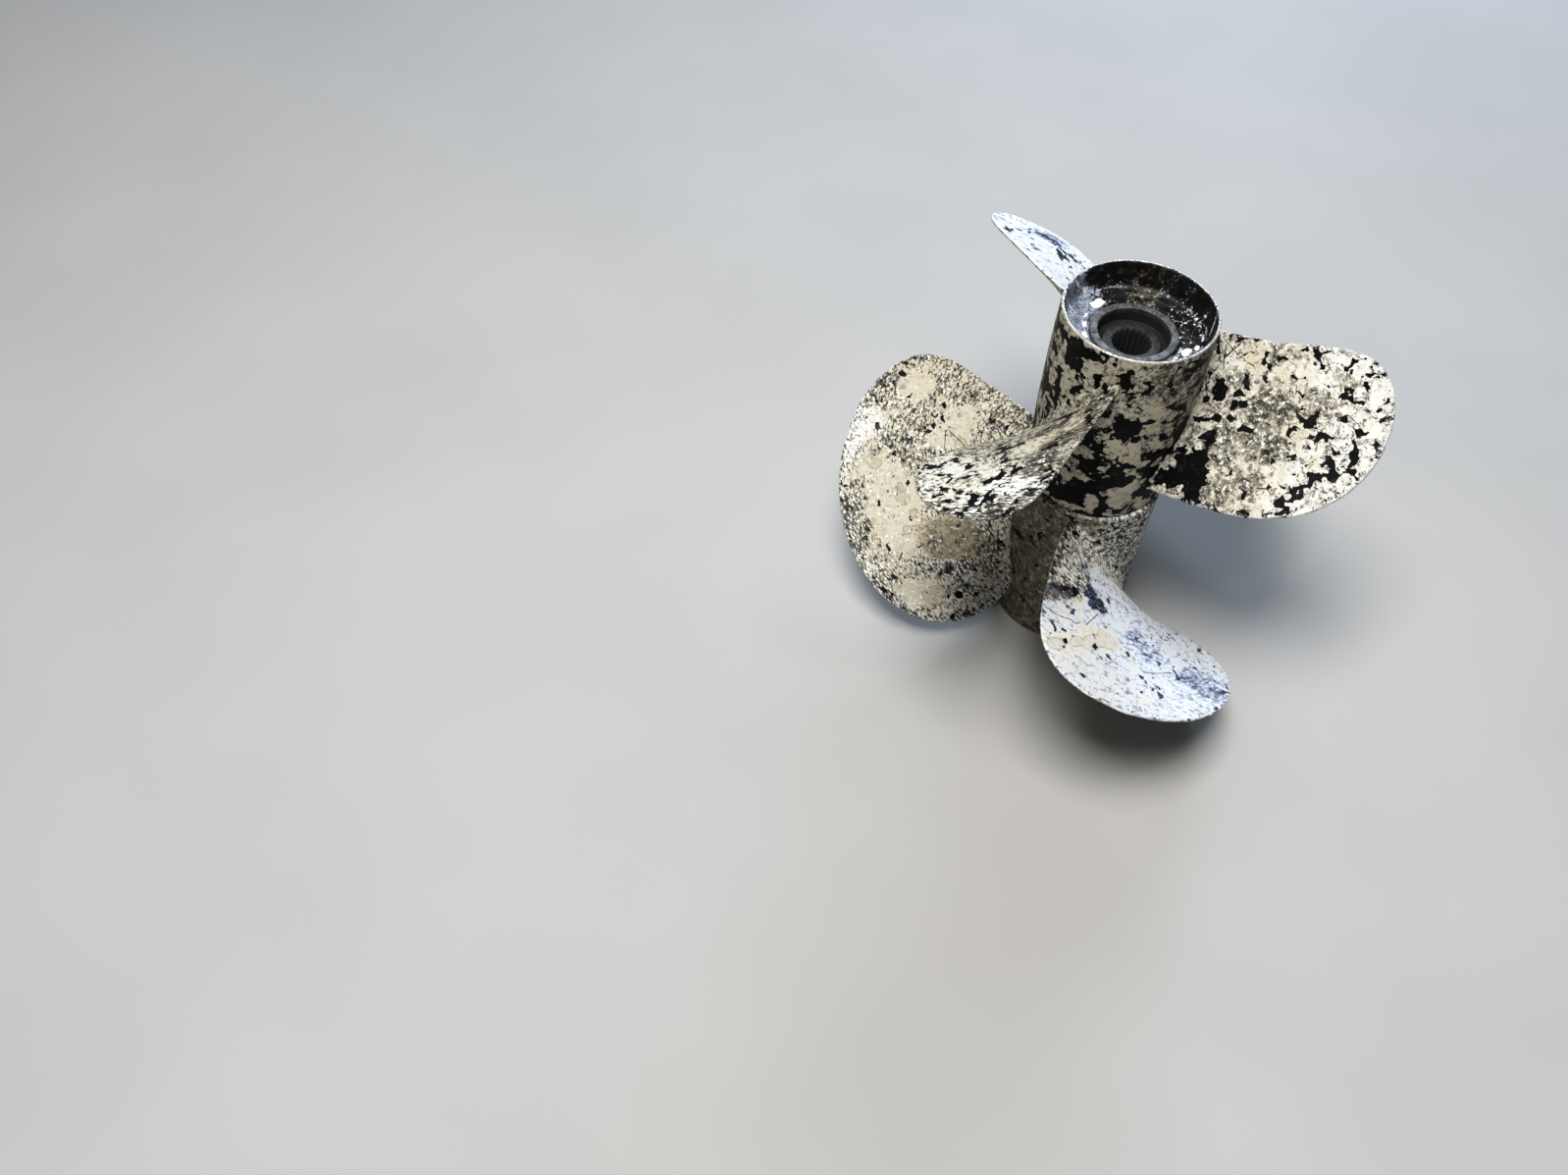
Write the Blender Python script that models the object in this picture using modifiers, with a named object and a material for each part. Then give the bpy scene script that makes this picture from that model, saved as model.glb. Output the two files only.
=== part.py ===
"""A pair of contra-rotating boat propellers, stacked on their shared axis.

The front propeller (left-handed) stands on its forward end. The rear propeller
(right-handed) sits on it with its aft end up. Each is one aluminium casting, a
barrel hub with three blades, and carries a rubber bush with a splined sleeve.
Metres, +Z up the shaft axis, origin on the axis at floor level.
"""

import math

import bmesh
import bpy
import numpy as np

# ---------------------------------------------------------------- dimensions
GAP = 0.0003                 # between pieces that touch
BLADES = 3                   # on each propeller
HUB_STEPS = 48               # facets round a hub
BUSH_STEPS = 36              # facets round a bush

STACK_HEIGHT = 0.2855        # floor to the rear hub's rim
SEAM_HEIGHT = 0.1410         # top face of the front hub

# Hub radii, outside
REAR_RIM_RADIUS = 0.0494     # at the aft rim
REAR_BELLY_RADIUS = 0.0502   # half way down the rear hub
REAR_FOOT_RADIUS = 0.0472    # at the seam
FRONT_TOP_RADIUS = 0.0500    # at the seam, a little proud of the rear hub
FRONT_WAIST_RADIUS = 0.0486  # half way down the front hub
FRONT_FOOT_RADIUS = 0.0508   # on the floor

# Rear hub, inside
REAR_RIM_WALL = 0.0026
REAR_WALL = 0.0058
REAR_RECESS_DEPTH = 0.0190   # rim to web
REAR_RECESS_FLOOR_RADIUS = 0.0432
REAR_WEB = 0.0070
REAR_BOSS_RADIUS = 0.0345
REAR_SHELL_RADIUS = 0.0281   # outer metal shell of the bush
REAR_SHELL_BORE = 0.0232
REAR_SHELL_PROUD = 0.0009    # shell above the web
REAR_SLEEVE_RADIUS = 0.0188
REAR_SLEEVE_BORE = 0.0123    # bottom of the spline grooves
REAR_SLEEVE_TOP = 0.2590
REAR_SPLINES = 20
REAR_SPLINE_DEPTH = 0.0011
REAR_BUSH_FOOT = 0.1660

# Front hub, inside
FRONT_WALL = 0.0060
FRONT_RECESS_DEPTH = 0.0120
FRONT_RECESS_RADIUS = 0.0452
FRONT_WEB = 0.0080
FRONT_BOSS_RADIUS = 0.0380
FRONT_SHELL_RADIUS = 0.0330
FRONT_SHELL_BORE = 0.0290
FRONT_SLEEVE_RADIUS = 0.0235
FRONT_SLEEVE_BORE = 0.0192
FRONT_SPLINES = 26
FRONT_SPLINE_DEPTH = 0.0013
FRONT_BUSH_TOP = 0.1180

# Blades. A blade is a sheet of helical lines wound round the axis. Every
# length along a line is measured from the blade's generator, a curve in one
# half plane, and is positive towards the upper end of the line.
#   share x runs from 0 at the hub to 1 at the tip
#   rake     height of the generator: start, slope, curvature
#   skew     shift of the outline along the helix: per x, per x squared
#   upper    upper edge from the skewed line: at x = 0, per x, per x squared
#   lower    lower edge, the same, downwards
#   tip      exponent of the outline's rounding towards the tip
REAR_BLADE = dict(
    hand=1, angle=math.radians(-58.35), root=0.0475, tip_radius=0.1737,
    pitch=0.5564, pitch_rise=0.1265, rake=(0.16684, 0.01778, -0.6095),
    skew=(0.14035, 0.01514), upper=(0.11409, -0.11595, 0.07504),
    lower=(0.00156, 0.10339, -0.01442), tip=3.667, relief=0.0,
    root_thickness=0.0095, edge_thickness=0.0024,
)
FRONT_BLADE = dict(
    hand=-1, angle=math.radians(-117.18), root=0.0500, tip_radius=0.1875,
    pitch=0.5617, pitch_rise=0.1129, rake=(0.13987, -0.05787, 1.1539),
    skew=(-0.06401, -0.03608), upper=(0.00761, 0.02524, 0.05170),
    lower=(0.13652, 0.12005, -0.11494), tip=5.729, relief=0.0120,
    root_thickness=0.0100, edge_thickness=0.0024,
)
ROOT_FLARE = 0.0060          # extra thickness where a blade meets the hub
ROOT_FLARE_REACH = 0.0050
ROOT_DEPTH = 0.0035          # how far a blade runs into the hub wall
STATIONS = 14                # along a blade
COLUMNS = 6                  # across a blade


# ------------------------------------------------------------------ helpers
def clear():
    for obj in list(bpy.data.objects):
        bpy.data.objects.remove(obj, do_unlink=True)


def collection(name):
    made = bpy.data.collections.new(name)
    bpy.context.scene.collection.children.link(made)
    return made


def material(name, colour, roughness, metallic):
    made = bpy.data.materials.new(name)
    made.use_nodes = True
    made.diffuse_color = (*colour, 1.0)
    shader = made.node_tree.nodes["Principled BSDF"]
    shader.inputs["Base Color"].default_value = (*colour, 1.0)
    shader.inputs["Roughness"].default_value = roughness
    shader.inputs["Metallic"].default_value = metallic
    return made


def add(name, mesh, where, finish=None):
    obj = bpy.data.objects.new(name, mesh)
    where.objects.link(obj)
    if finish:
        mesh.materials.append(finish)
    return obj


def helper(obj):
    obj.hide_render = True
    obj.display_type = "WIRE"
    return obj


def turned(name, profile, steps, where, finish=None):
    """A ring turned from a closed profile of (radius, height) points.

    The points run down the outer side and back up the inner side.
    """
    mesh = bpy.data.meshes.new(name)
    count = len(profile)
    mesh.from_pydata(
        [(r, 0.0, z) for r, z in profile],
        [(i, (i + 1) % count) for i in range(count)],
        [],
    )
    obj = add(name, mesh, where, finish)
    screw = obj.modifiers.new("turn", "SCREW")
    screw.axis = "Z"
    screw.angle = 2 * math.pi
    screw.steps = screw.render_steps = steps
    screw.use_merge_vertices = True
    screw.merge_threshold = 0.0001
    screw.use_smooth_shade = False
    return obj


def bowed(top, middle, foot, high, low, parts):
    """Points down a barrel whose radius follows a parabola through three radii."""
    points = []
    for i in range(parts + 1):
        s = i / parts
        radius = (
            top * (1 - s) * (1 - 2 * s) + middle * 4 * s * (1 - s) + foot * s * (2 * s - 1)
        )
        points.append((radius, high + (low - high) * s))
    return points


# ------------------------------------------------------------------- blades
def blade_place(blade, x, u):
    """A point of the blade's middle sheet: x from hub to tip, u across, -1 to 1."""
    root, tip = blade["root"], blade["tip_radius"]
    radius = root + (tip - root) * x
    s = max(x, 0.0)
    narrowing = math.sqrt(max(0.0, 1.0 - s ** blade["tip"]))
    up = blade["upper"][0] + blade["upper"][1] * s + blade["upper"][2] * s * s
    down = blade["lower"][0] + blade["lower"][1] * s + blade["lower"][2] * s * s
    up -= blade["relief"] * math.exp(-s / 0.12)
    along = narrowing * ((up - down) / 2 + u * (up + down) / 2)
    along += blade["skew"][0] * s + blade["skew"][1] * s * s
    pitch = blade["pitch"] * (1 + blade["pitch_rise"] * (s - 0.7))
    slope = math.atan2(pitch, 2 * math.pi * radius)
    angle = blade["angle"] + blade["hand"] * along * math.cos(slope) / radius
    out = radius - root
    height = blade["rake"][0] + blade["rake"][1] * out + blade["rake"][2] * out * out
    height += along * math.sin(slope)
    return np.array([radius * math.cos(angle), radius * math.sin(angle), height])


def blade_thickness(blade, x, u):
    s = max(x, 0.0)
    edge = blade["edge_thickness"]
    middle = edge + (blade["root_thickness"] - edge) * (1 - s) ** 1.4
    out = max(0.0, (blade["tip_radius"] - blade["root"]) * x)
    flare = ROOT_FLARE * math.exp(-out / ROOT_FLARE_REACH)
    return edge + (middle - edge) * (1 - abs(u) ** 2.2) + flare


def blade_mesh(name, blade, turn):
    """A closed blade: two sheets either side of the middle one, and a rounded rim."""
    span = blade["tip_radius"] - blade["root"]
    shares = [-ROOT_DEPTH / span, 0.0]
    shares += [
        math.sin(i / STATIONS * math.pi / 2) for i in range(1, STATIONS)
    ]
    shares.append(0.9993)
    rows, columns = len(shares), COLUMNS + 1
    across = [math.sin((j / COLUMNS - 0.5) * math.pi) * 0.55 + (2 * j / COLUMNS - 1) * 0.45
              for j in range(columns)]
    middle = np.array([[blade_place(blade, x, u) for u in across] for x in shares])
    small = 1e-4
    normal = np.zeros_like(middle)
    for i, x in enumerate(shares):
        for j, u in enumerate(across):
            low, high = max(u - small * 10, -1.0), min(u + small * 10, 1.0)
            base = min(x, 0.995)
            du = blade_place(blade, base, high) - blade_place(blade, base, low)
            dx = blade_place(blade, base + small, u) - blade_place(blade, base - small, u)
            n = np.cross(dx, du)
            normal[i, j] = n / np.linalg.norm(n)
    half = np.array([[blade_thickness(blade, x, u) / 2 for u in across] for x in shares])
    front = middle + normal * half[..., None]
    back = middle - normal * half[..., None]

    path = [(i, columns - 1) for i in range(rows)]
    path += [(rows - 1, j) for j in range(columns - 2, 0, -1)]
    path += [(i, 0) for i in range(rows - 1, -1, -1)]
    rim = []
    for k, (i, j) in enumerate(path):
        before = middle[path[max(k - 1, 0)]]
        after = middle[path[min(k + 1, len(path) - 1)]]
        outward = np.cross(after - before, normal[i, j])
        outward /= np.linalg.norm(outward)
        inside = middle[min(i, rows // 2), columns // 2]
        if np.dot(outward, middle[i, j] - inside) < 0:
            outward = -outward
        rim.append(middle[i, j] + outward * half[i, j] * 0.8)

    mesh = bpy.data.meshes.new(name)
    bm = bmesh.new()
    c, s = math.cos(turn), math.sin(turn)

    def vert(p):
        return bm.verts.new((c * p[0] - s * p[1], s * p[0] + c * p[1], p[2]))

    a = [[vert(front[i, j]) for j in range(columns)] for i in range(rows)]
    b = [[vert(back[i, j]) for j in range(columns)] for i in range(rows)]
    w = [vert(p) for p in rim]
    for i in range(rows - 1):
        for j in range(columns - 1):
            bm.faces.new((a[i][j], a[i][j + 1], a[i + 1][j + 1], a[i + 1][j]))
            bm.faces.new((b[i][j], b[i + 1][j], b[i + 1][j + 1], b[i][j + 1]))
    for k in range(len(path) - 1):
        (i, j), (p, q) = path[k], path[k + 1]
        bm.faces.new((a[i][j], w[k], w[k + 1], a[p][q]))
        bm.faces.new((w[k], b[i][j], b[p][q], w[k + 1]))
    for j in range(columns - 1):
        bm.faces.new((a[0][j + 1], a[0][j], b[0][j], b[0][j + 1]))
    bm.faces.new((a[0][columns - 1], b[0][columns - 1], w[0]))
    bm.faces.new((a[0][0], w[-1], b[0][0]))
    bmesh.ops.triangulate(bm, faces=bm.faces)
    bmesh.ops.recalc_face_normals(bm, faces=bm.faces)
    if bm.calc_volume(signed=True) < 0:
        bmesh.ops.reverse_faces(bm, faces=bm.faces)
    bm.to_mesh(mesh)
    bm.free()
    return mesh


def join_blades(hub, blade, helpers):
    for k in range(BLADES):
        name = f"{hub.name}_blade_{k + 1}"
        mesh = blade_mesh(name, blade, 2 * math.pi * k / BLADES)
        other = helper(add(name, mesh, helpers))
        union = hub.modifiers.new(f"blade_{k + 1}", "BOOLEAN")
        union.operation = "UNION"
        union.solver = "EXACT"
        union.object = other


def join_ribs(hub, inner, outer, low, high, thickness, angle, helpers):
    """Radial ribs between a hub's boss and its barrel."""
    for k in range(BLADES):
        mesh = bpy.data.meshes.new(f"{hub.name}_rib_{k + 1}")
        bm = bmesh.new()
        bmesh.ops.create_cube(bm, size=1.0)
        for v in bm.verts:
            v.co.x = (inner + outer) / 2 + v.co.x * (outer - inner)
            v.co.y *= thickness
            v.co.z = (low + high) / 2 + v.co.z * (high - low)
        bm.to_mesh(mesh)
        bm.free()
        other = helper(add(mesh.name, mesh, helpers))
        other.rotation_euler.z = angle + 2 * math.pi * k / BLADES
        union = hub.modifiers.new(f"rib_{k + 1}", "BOOLEAN")
        union.operation = "UNION"
        union.solver = "EXACT"
        union.object = other


def splined_sleeve(name, radius, bore, depth, teeth, low, high, where, finish):
    """A tube whose bore has straight splines: a flat outline, extruded."""
    curve = bpy.data.curves.new(name + "_outline", "CURVE")
    curve.dimensions = "2D"
    curve.fill_mode = "BOTH"
    curve.extrude = (high - low) / 2
    outer = curve.splines.new("POLY")
    outer.points.add(BUSH_STEPS - 1)
    for i in range(BUSH_STEPS):
        t = 2 * math.pi * i / BUSH_STEPS
        outer.points[i].co = (radius * math.cos(t), radius * math.sin(t), 0.0, 1.0)
    outer.use_cyclic_u = True
    inner = curve.splines.new("POLY")
    inner.points.add(4 * teeth - 1)
    for i in range(teeth):
        for k, (share, r) in enumerate(
            ((-0.30, bore), (0.30, bore), (0.40, bore - depth), (0.60, bore - depth))
        ):
            t = 2 * math.pi * (i + share) / teeth
            inner.points[4 * i + k].co = (r * math.cos(t), r * math.sin(t), 0.0, 1.0)
    inner.use_cyclic_u = True
    source = bpy.data.objects.new(name + "_outline", curve)
    bpy.context.scene.collection.objects.link(source)
    source.location.z = (low + high) / 2
    bpy.context.view_layer.update()
    graph = bpy.context.evaluated_depsgraph_get()
    mesh = bpy.data.meshes.new_from_object(source.evaluated_get(graph))
    mesh.name = name
    bm = bmesh.new()
    bm.from_mesh(mesh)
    bmesh.ops.remove_doubles(bm, verts=bm.verts, dist=0.00001)
    bmesh.ops.recalc_face_normals(bm, faces=bm.faces)
    bm.to_mesh(mesh)
    bm.free()
    obj = add(name, mesh, where)
    obj.matrix_world = source.matrix_world.copy()
    mesh.materials.clear()
    mesh.materials.append(finish)
    bpy.data.objects.remove(source, do_unlink=True)
    return obj


def smooth(obj, degrees=35):
    obj.data.shade_smooth()
    obj.data.set_sharp_from_angle(angle=math.radians(degrees))


# ------------------------------------------------------------------- pieces
def rear_casting(where, helpers, finish):
    foot = SEAM_HEIGHT + GAP
    web_top = STACK_HEIGHT - REAR_RECESS_DEPTH
    web_low = web_top - REAR_WEB
    outside = bowed(
        REAR_RIM_RADIUS, REAR_BELLY_RADIUS, REAR_FOOT_RADIUS, STACK_HEIGHT, foot, 6
    )
    profile = [(REAR_RIM_RADIUS - 0.0006, STACK_HEIGHT)]
    profile += [(REAR_RIM_RADIUS, STACK_HEIGHT - 0.0006)] + outside[1:-1]
    profile += [
        (REAR_FOOT_RADIUS, foot + 0.0008),
        (REAR_FOOT_RADIUS - 0.0008, foot),
        (REAR_FOOT_RADIUS - REAR_WALL, foot),
        (REAR_BELLY_RADIUS - REAR_WALL - 0.001, (foot + web_low) / 2),
        (REAR_RIM_RADIUS - REAR_WALL, web_low - 0.004),
        (REAR_RIM_RADIUS - REAR_WALL - 0.004, web_low),
        (REAR_BOSS_RADIUS + 0.003, web_low),
        (REAR_BOSS_RADIUS, web_low - 0.003),
        (REAR_BOSS_RADIUS - 0.0015, REAR_BUSH_FOOT - 0.008),
        (REAR_SHELL_BORE + 0.002, REAR_BUSH_FOOT - 0.008),
        (REAR_SHELL_BORE + 0.002, REAR_BUSH_FOOT - GAP),
        (REAR_SHELL_RADIUS + GAP, REAR_BUSH_FOOT - GAP),
        (REAR_SHELL_RADIUS + GAP, web_top - 0.0016),
        (REAR_SHELL_RADIUS + GAP + 0.0010, web_top),
        (REAR_RECESS_FLOOR_RADIUS - 0.002, web_top),
        (REAR_RECESS_FLOOR_RADIUS + 0.0004, web_top + 0.0020),
        (REAR_RIM_RADIUS - REAR_RIM_WALL - 0.0006, STACK_HEIGHT - 0.0016),
        (REAR_RIM_RADIUS - REAR_RIM_WALL, STACK_HEIGHT),
    ]
    hub = turned("rear_propeller_casting", profile, HUB_STEPS, where, finish)
    join_ribs(
        hub, REAR_BOSS_RADIUS - 0.003, REAR_FOOT_RADIUS - REAR_WALL + 0.003,
        REAR_BUSH_FOOT + 0.004, web_low + 0.003, 0.006, math.radians(30), helpers,
    )
    join_blades(hub, REAR_BLADE, helpers)
    smooth(hub)
    return hub


def front_casting(where, helpers, finish):
    web_low = FRONT_RECESS_DEPTH
    web_top = web_low + FRONT_WEB
    outside = bowed(
        FRONT_TOP_RADIUS, FRONT_WAIST_RADIUS, FRONT_FOOT_RADIUS, SEAM_HEIGHT, 0.0, 6
    )
    profile = [(FRONT_TOP_RADIUS - 0.0008, SEAM_HEIGHT)]
    profile += [(FRONT_TOP_RADIUS, SEAM_HEIGHT - 0.0008)] + outside[1:-1]
    profile += [
        (FRONT_FOOT_RADIUS, 0.0010),
        (FRONT_FOOT_RADIUS - 0.0010, 0.0),
        (FRONT_RECESS_RADIUS + 0.0005, 0.0),
        (FRONT_RECESS_RADIUS - 0.0005, web_low - 0.002),
        (FRONT_RECESS_RADIUS - 0.0025, web_low),
        (FRONT_SHELL_RADIUS + GAP + 0.0010, web_low),
        (FRONT_SHELL_RADIUS + GAP, web_low + 0.0012),
        (FRONT_SHELL_RADIUS + GAP, FRONT_BUSH_TOP + GAP),
        (FRONT_SHELL_BORE + 0.002, FRONT_BUSH_TOP + GAP),
        (FRONT_SHELL_BORE + 0.002, FRONT_BUSH_TOP + 0.007),
        (FRONT_BOSS_RADIUS - 0.0010, FRONT_BUSH_TOP + 0.007),
        (FRONT_BOSS_RADIUS, web_top + 0.002),
        (FRONT_BOSS_RADIUS + 0.0015, web_top),
        (FRONT_WAIST_RADIUS - FRONT_WALL - 0.0015, web_top),
        (FRONT_WAIST_RADIUS - FRONT_WALL, web_top + 0.002),
        (FRONT_TOP_RADIUS - FRONT_WALL, SEAM_HEIGHT),
    ]
    hub = turned("front_propeller_casting", profile, HUB_STEPS, where, finish)
    join_ribs(
        hub, FRONT_BOSS_RADIUS - 0.003, FRONT_WAIST_RADIUS - FRONT_WALL + 0.003,
        web_top - 0.003, FRONT_BUSH_TOP, 0.006, math.radians(90), helpers,
    )
    join_blades(hub, FRONT_BLADE, helpers)
    smooth(hub)
    return hub


def bush(prefix, shell, bore, sleeve, low, high, seat, where, metal, rubber):
    """The outer shell of a bush and the rubber bonded in it.

    seat is how far the rubber's two ends stand back inside the shell.
    """
    edge = 0.0006
    ring = turned(
        f"{prefix}_bush_shell",
        [
            (shell - edge, high), (shell, high - edge), (shell, low + edge),
            (shell - edge, low), (bore + edge, low), (bore, low + edge),
            (bore, high - edge), (bore + edge, high),
        ],
        BUSH_STEPS, where, metal,
    )
    top, foot = high - seat, low + seat
    outer, inner = bore - GAP, sleeve + GAP
    pad = turned(
        f"{prefix}_rubber_bush",
        [
            (outer, top), (outer, foot), (outer - 0.0015, foot + 0.0012),
            (inner + 0.0010, foot + 0.0012), (inner, foot), (inner, top),
            (inner + 0.0010, top - 0.0012), (outer - 0.0015, top - 0.0012),
        ],
        BUSH_STEPS, where, rubber,
    )
    smooth(ring)
    smooth(pad)
    return ring, pad


def main():
    clear()
    parts = collection("contra_rotating_propeller_pair")
    helpers = collection("cutters")

    paint_rear = material("rear_paint", (0.52, 0.50, 0.43), 0.72, 0.0)
    paint_front = material("front_paint", (0.58, 0.56, 0.49), 0.72, 0.0)
    shell = material("bush_shell_metal", (0.36, 0.37, 0.38), 0.5, 0.7)
    shell_front = material("front_bush_shell_metal", (0.36, 0.37, 0.38), 0.5, 0.7)
    rubber = material("rear_bush_rubber", (0.030, 0.030, 0.032), 0.8, 0.0)
    rubber_front = material("front_bush_rubber", (0.030, 0.030, 0.032), 0.8, 0.0)
    sleeve = material("rear_sleeve_metal", (0.10, 0.10, 0.10), 0.5, 0.8)
    sleeve_front = material("front_sleeve_metal", (0.10, 0.10, 0.10), 0.5, 0.8)

    front = front_casting(parts, helpers, paint_front)
    front_ring, front_pad = bush(
        "front", FRONT_SHELL_RADIUS, FRONT_SHELL_BORE, FRONT_SLEEVE_RADIUS,
        FRONT_RECESS_DEPTH, FRONT_BUSH_TOP, 0.006, parts, shell_front, rubber_front,
    )
    front_sleeve = splined_sleeve(
        "front_splined_sleeve", FRONT_SLEEVE_RADIUS, FRONT_SLEEVE_BORE,
        FRONT_SPLINE_DEPTH, FRONT_SPLINES, FRONT_RECESS_DEPTH + 0.003,
        FRONT_BUSH_TOP + 0.003, parts, sleeve_front,
    )

    rear = rear_casting(parts, helpers, paint_rear)
    shell_top = STACK_HEIGHT - REAR_RECESS_DEPTH + REAR_SHELL_PROUD
    rear_ring, rear_pad = bush(
        "rear", REAR_SHELL_RADIUS, REAR_SHELL_BORE, REAR_SLEEVE_RADIUS,
        REAR_BUSH_FOOT, shell_top, shell_top - REAR_SLEEVE_TOP + 0.0006, parts,
        shell, rubber,
    )
    rear_sleeve = splined_sleeve(
        "rear_splined_sleeve", REAR_SLEEVE_RADIUS, REAR_SLEEVE_BORE,
        REAR_SPLINE_DEPTH, REAR_SPLINES, REAR_BUSH_FOOT + 0.004,
        REAR_SLEEVE_TOP, parts, sleeve,
    )

    # The rear propeller turns about the shaft axis, against the front one.
    axis = bpy.data.objects.new("rear_propeller_axis", None)
    axis.location = (0.0, 0.0, SEAM_HEIGHT)
    parts.objects.link(axis)
    bpy.context.view_layer.update()
    for piece in (rear, rear_ring, rear_pad, rear_sleeve):
        keep = piece.matrix_world.copy()
        piece.parent = axis
        piece.matrix_parent_inverse = axis.matrix_world.inverted()
        piece.matrix_world = keep
    for piece in (front_sleeve, rear_sleeve):
        smooth(piece)


main()
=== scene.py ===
"""Looks of the contra-rotating propeller pair: two weathered castings in flaking
off-white antifouling over black, their bushes, a pale floor and soft light."""

import math

import bmesh
import bpy
import numpy as np
from mathutils import Matrix, Vector


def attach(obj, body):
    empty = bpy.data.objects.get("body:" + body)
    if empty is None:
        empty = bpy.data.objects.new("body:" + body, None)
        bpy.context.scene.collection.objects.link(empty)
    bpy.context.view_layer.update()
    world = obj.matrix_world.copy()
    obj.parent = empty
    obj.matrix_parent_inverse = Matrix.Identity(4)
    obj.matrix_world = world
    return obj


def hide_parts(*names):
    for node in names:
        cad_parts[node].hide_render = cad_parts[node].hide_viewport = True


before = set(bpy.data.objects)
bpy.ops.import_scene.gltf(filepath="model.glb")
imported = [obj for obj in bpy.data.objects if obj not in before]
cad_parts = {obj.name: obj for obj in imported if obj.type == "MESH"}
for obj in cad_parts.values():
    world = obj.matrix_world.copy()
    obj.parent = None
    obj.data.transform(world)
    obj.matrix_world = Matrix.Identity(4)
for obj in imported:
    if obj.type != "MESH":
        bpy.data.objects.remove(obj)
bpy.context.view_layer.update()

# ------------------------------------------------------------------- camera
# Fitted to the floor's tile joints and the hubs' circles.
CAMERA_AT = (-0.23315, -0.61570, 0.80212)
CAMERA_DOWN = 0.917183      # radians below the horizon
CAMERA_YAW = -0.021777
CAMERA_ROLL = 0.021109
FOCAL_PIXELS = 1283.36      # for an image 1598 pixels wide


def add_camera():
    c, s = math.cos(CAMERA_DOWN), math.sin(CAMERA_DOWN)
    turn = Matrix.Rotation(CAMERA_YAW, 3, "Z")
    forward = turn @ Vector((0.0, c, -s))
    right = turn @ Vector((1.0, 0.0, 0.0))
    up = turn @ Vector((0.0, s, c))
    cr, sr = math.cos(CAMERA_ROLL), math.sin(CAMERA_ROLL)
    right, up = cr * right + sr * up, -sr * right + cr * up
    data = bpy.data.cameras.new("camera")
    data.sensor_width = 36.0
    data.lens = FOCAL_PIXELS / 1598.0 * 36.0
    data.clip_start, data.clip_end = 0.01, 50.0
    camera = bpy.data.objects.new("camera", data)
    m = Matrix.Identity(4)
    for i in range(3):
        m[i][0], m[i][1], m[i][2], m[i][3] = right[i], up[i], -forward[i], CAMERA_AT[i]
    camera.matrix_world = m
    bpy.context.scene.collection.objects.link(camera)
    bpy.context.scene.camera = camera


add_camera()

# --------------------------------------------------------------- dimensions
GAP = 0.0003
STACK_HEIGHT = 0.2855
SEAM_HEIGHT = 0.1410
REAR_HUB = (0.0494, 0.0502, 0.0472, STACK_HEIGHT, SEAM_HEIGHT + GAP)
FRONT_HUB = (0.0500, 0.0486, 0.0508, SEAM_HEIGHT, 0.0)

REAR_BLADE = dict(
    hand=1, angle=math.radians(-58.35), root=0.0475, tip_radius=0.1737,
    pitch=0.5564, pitch_rise=0.1265, rake=(0.16684, 0.01778, -0.6095),
    skew=(0.14035, 0.01514), upper=(0.11409, -0.11595, 0.07504),
    lower=(0.00156, 0.10339, -0.01442), tip=3.667, relief=0.0,
    root_thickness=0.0095, edge_thickness=0.0022, hub=REAR_HUB,
)
FRONT_BLADE = dict(
    hand=-1, angle=math.radians(-117.18), root=0.0500, tip_radius=0.1875,
    pitch=0.5617, pitch_rise=0.1129, rake=(0.13987, -0.05787, 1.1539),
    skew=(-0.06401, -0.03608), upper=(0.00761, 0.02524, 0.05170),
    lower=(0.13652, 0.12005, -0.11494), tip=5.729, relief=0.0120,
    root_thickness=0.0100, edge_thickness=0.0022, hub=FRONT_HUB,
)
BLADES = 3
FILLET = 0.0065


# ---------------------------------------------------------------- mesh tools
def new_mesh(name, points, faces):
    mesh = bpy.data.meshes.new(name)
    mesh.from_pydata([tuple(p) for p in points], [], [tuple(f) for f in faces])
    mesh.update()
    return mesh


def link(name, mesh):
    obj = bpy.data.objects.new(name, mesh)
    bpy.context.scene.collection.objects.link(obj)
    return obj


def coords(mesh):
    flat = np.empty(len(mesh.vertices) * 3, np.float32)
    mesh.vertices.foreach_get("co", flat)
    return flat.reshape(-1, 3).astype(float)


def set_coords(mesh, points):
    mesh.vertices.foreach_set("co", points.astype(np.float32).ravel())
    mesh.update()


def smooth(obj, degrees=38):
    obj.data.shade_smooth()
    obj.data.set_sharp_from_angle(angle=math.radians(degrees))


def attribute(mesh, name, values):
    found = mesh.attributes.get(name) or mesh.attributes.new(name, "FLOAT", "POINT")
    found.data.foreach_set("value", np.asarray(values, np.float32).ravel())


def vector_attribute(mesh, name, values):
    found = mesh.attributes.get(name) or mesh.attributes.new(name, "FLOAT_VECTOR", "POINT")
    found.data.foreach_set("vector", np.asarray(values, np.float32).ravel())


def step(a, b, x):
    """A smooth step from 0 at a to 1 at b."""
    t = np.clip((x - a) / (b - a), 0.0, 1.0)
    return t * t * (3 - 2 * t)


def waves(p, size, seed, octaves=3):
    """Smooth repeatable noise in -1 to 1, a sum of slanted sine waves about size long."""
    random = np.random.default_rng(seed)
    total, weight, amount = 0.0, 0.0, 1.0
    for _ in range(octaves):
        for _ in range(5):
            way = random.normal(size=3)
            way /= np.linalg.norm(way)
            phase = random.uniform(0, 2 * math.pi)
            stretch = random.uniform(0.75, 1.3)
            total = total + amount * np.sin(p @ way * (2 * math.pi / size * stretch) + phase)
            weight += amount
        size /= 2.0
        amount *= 0.55
    return total / weight * 1.8


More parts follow.
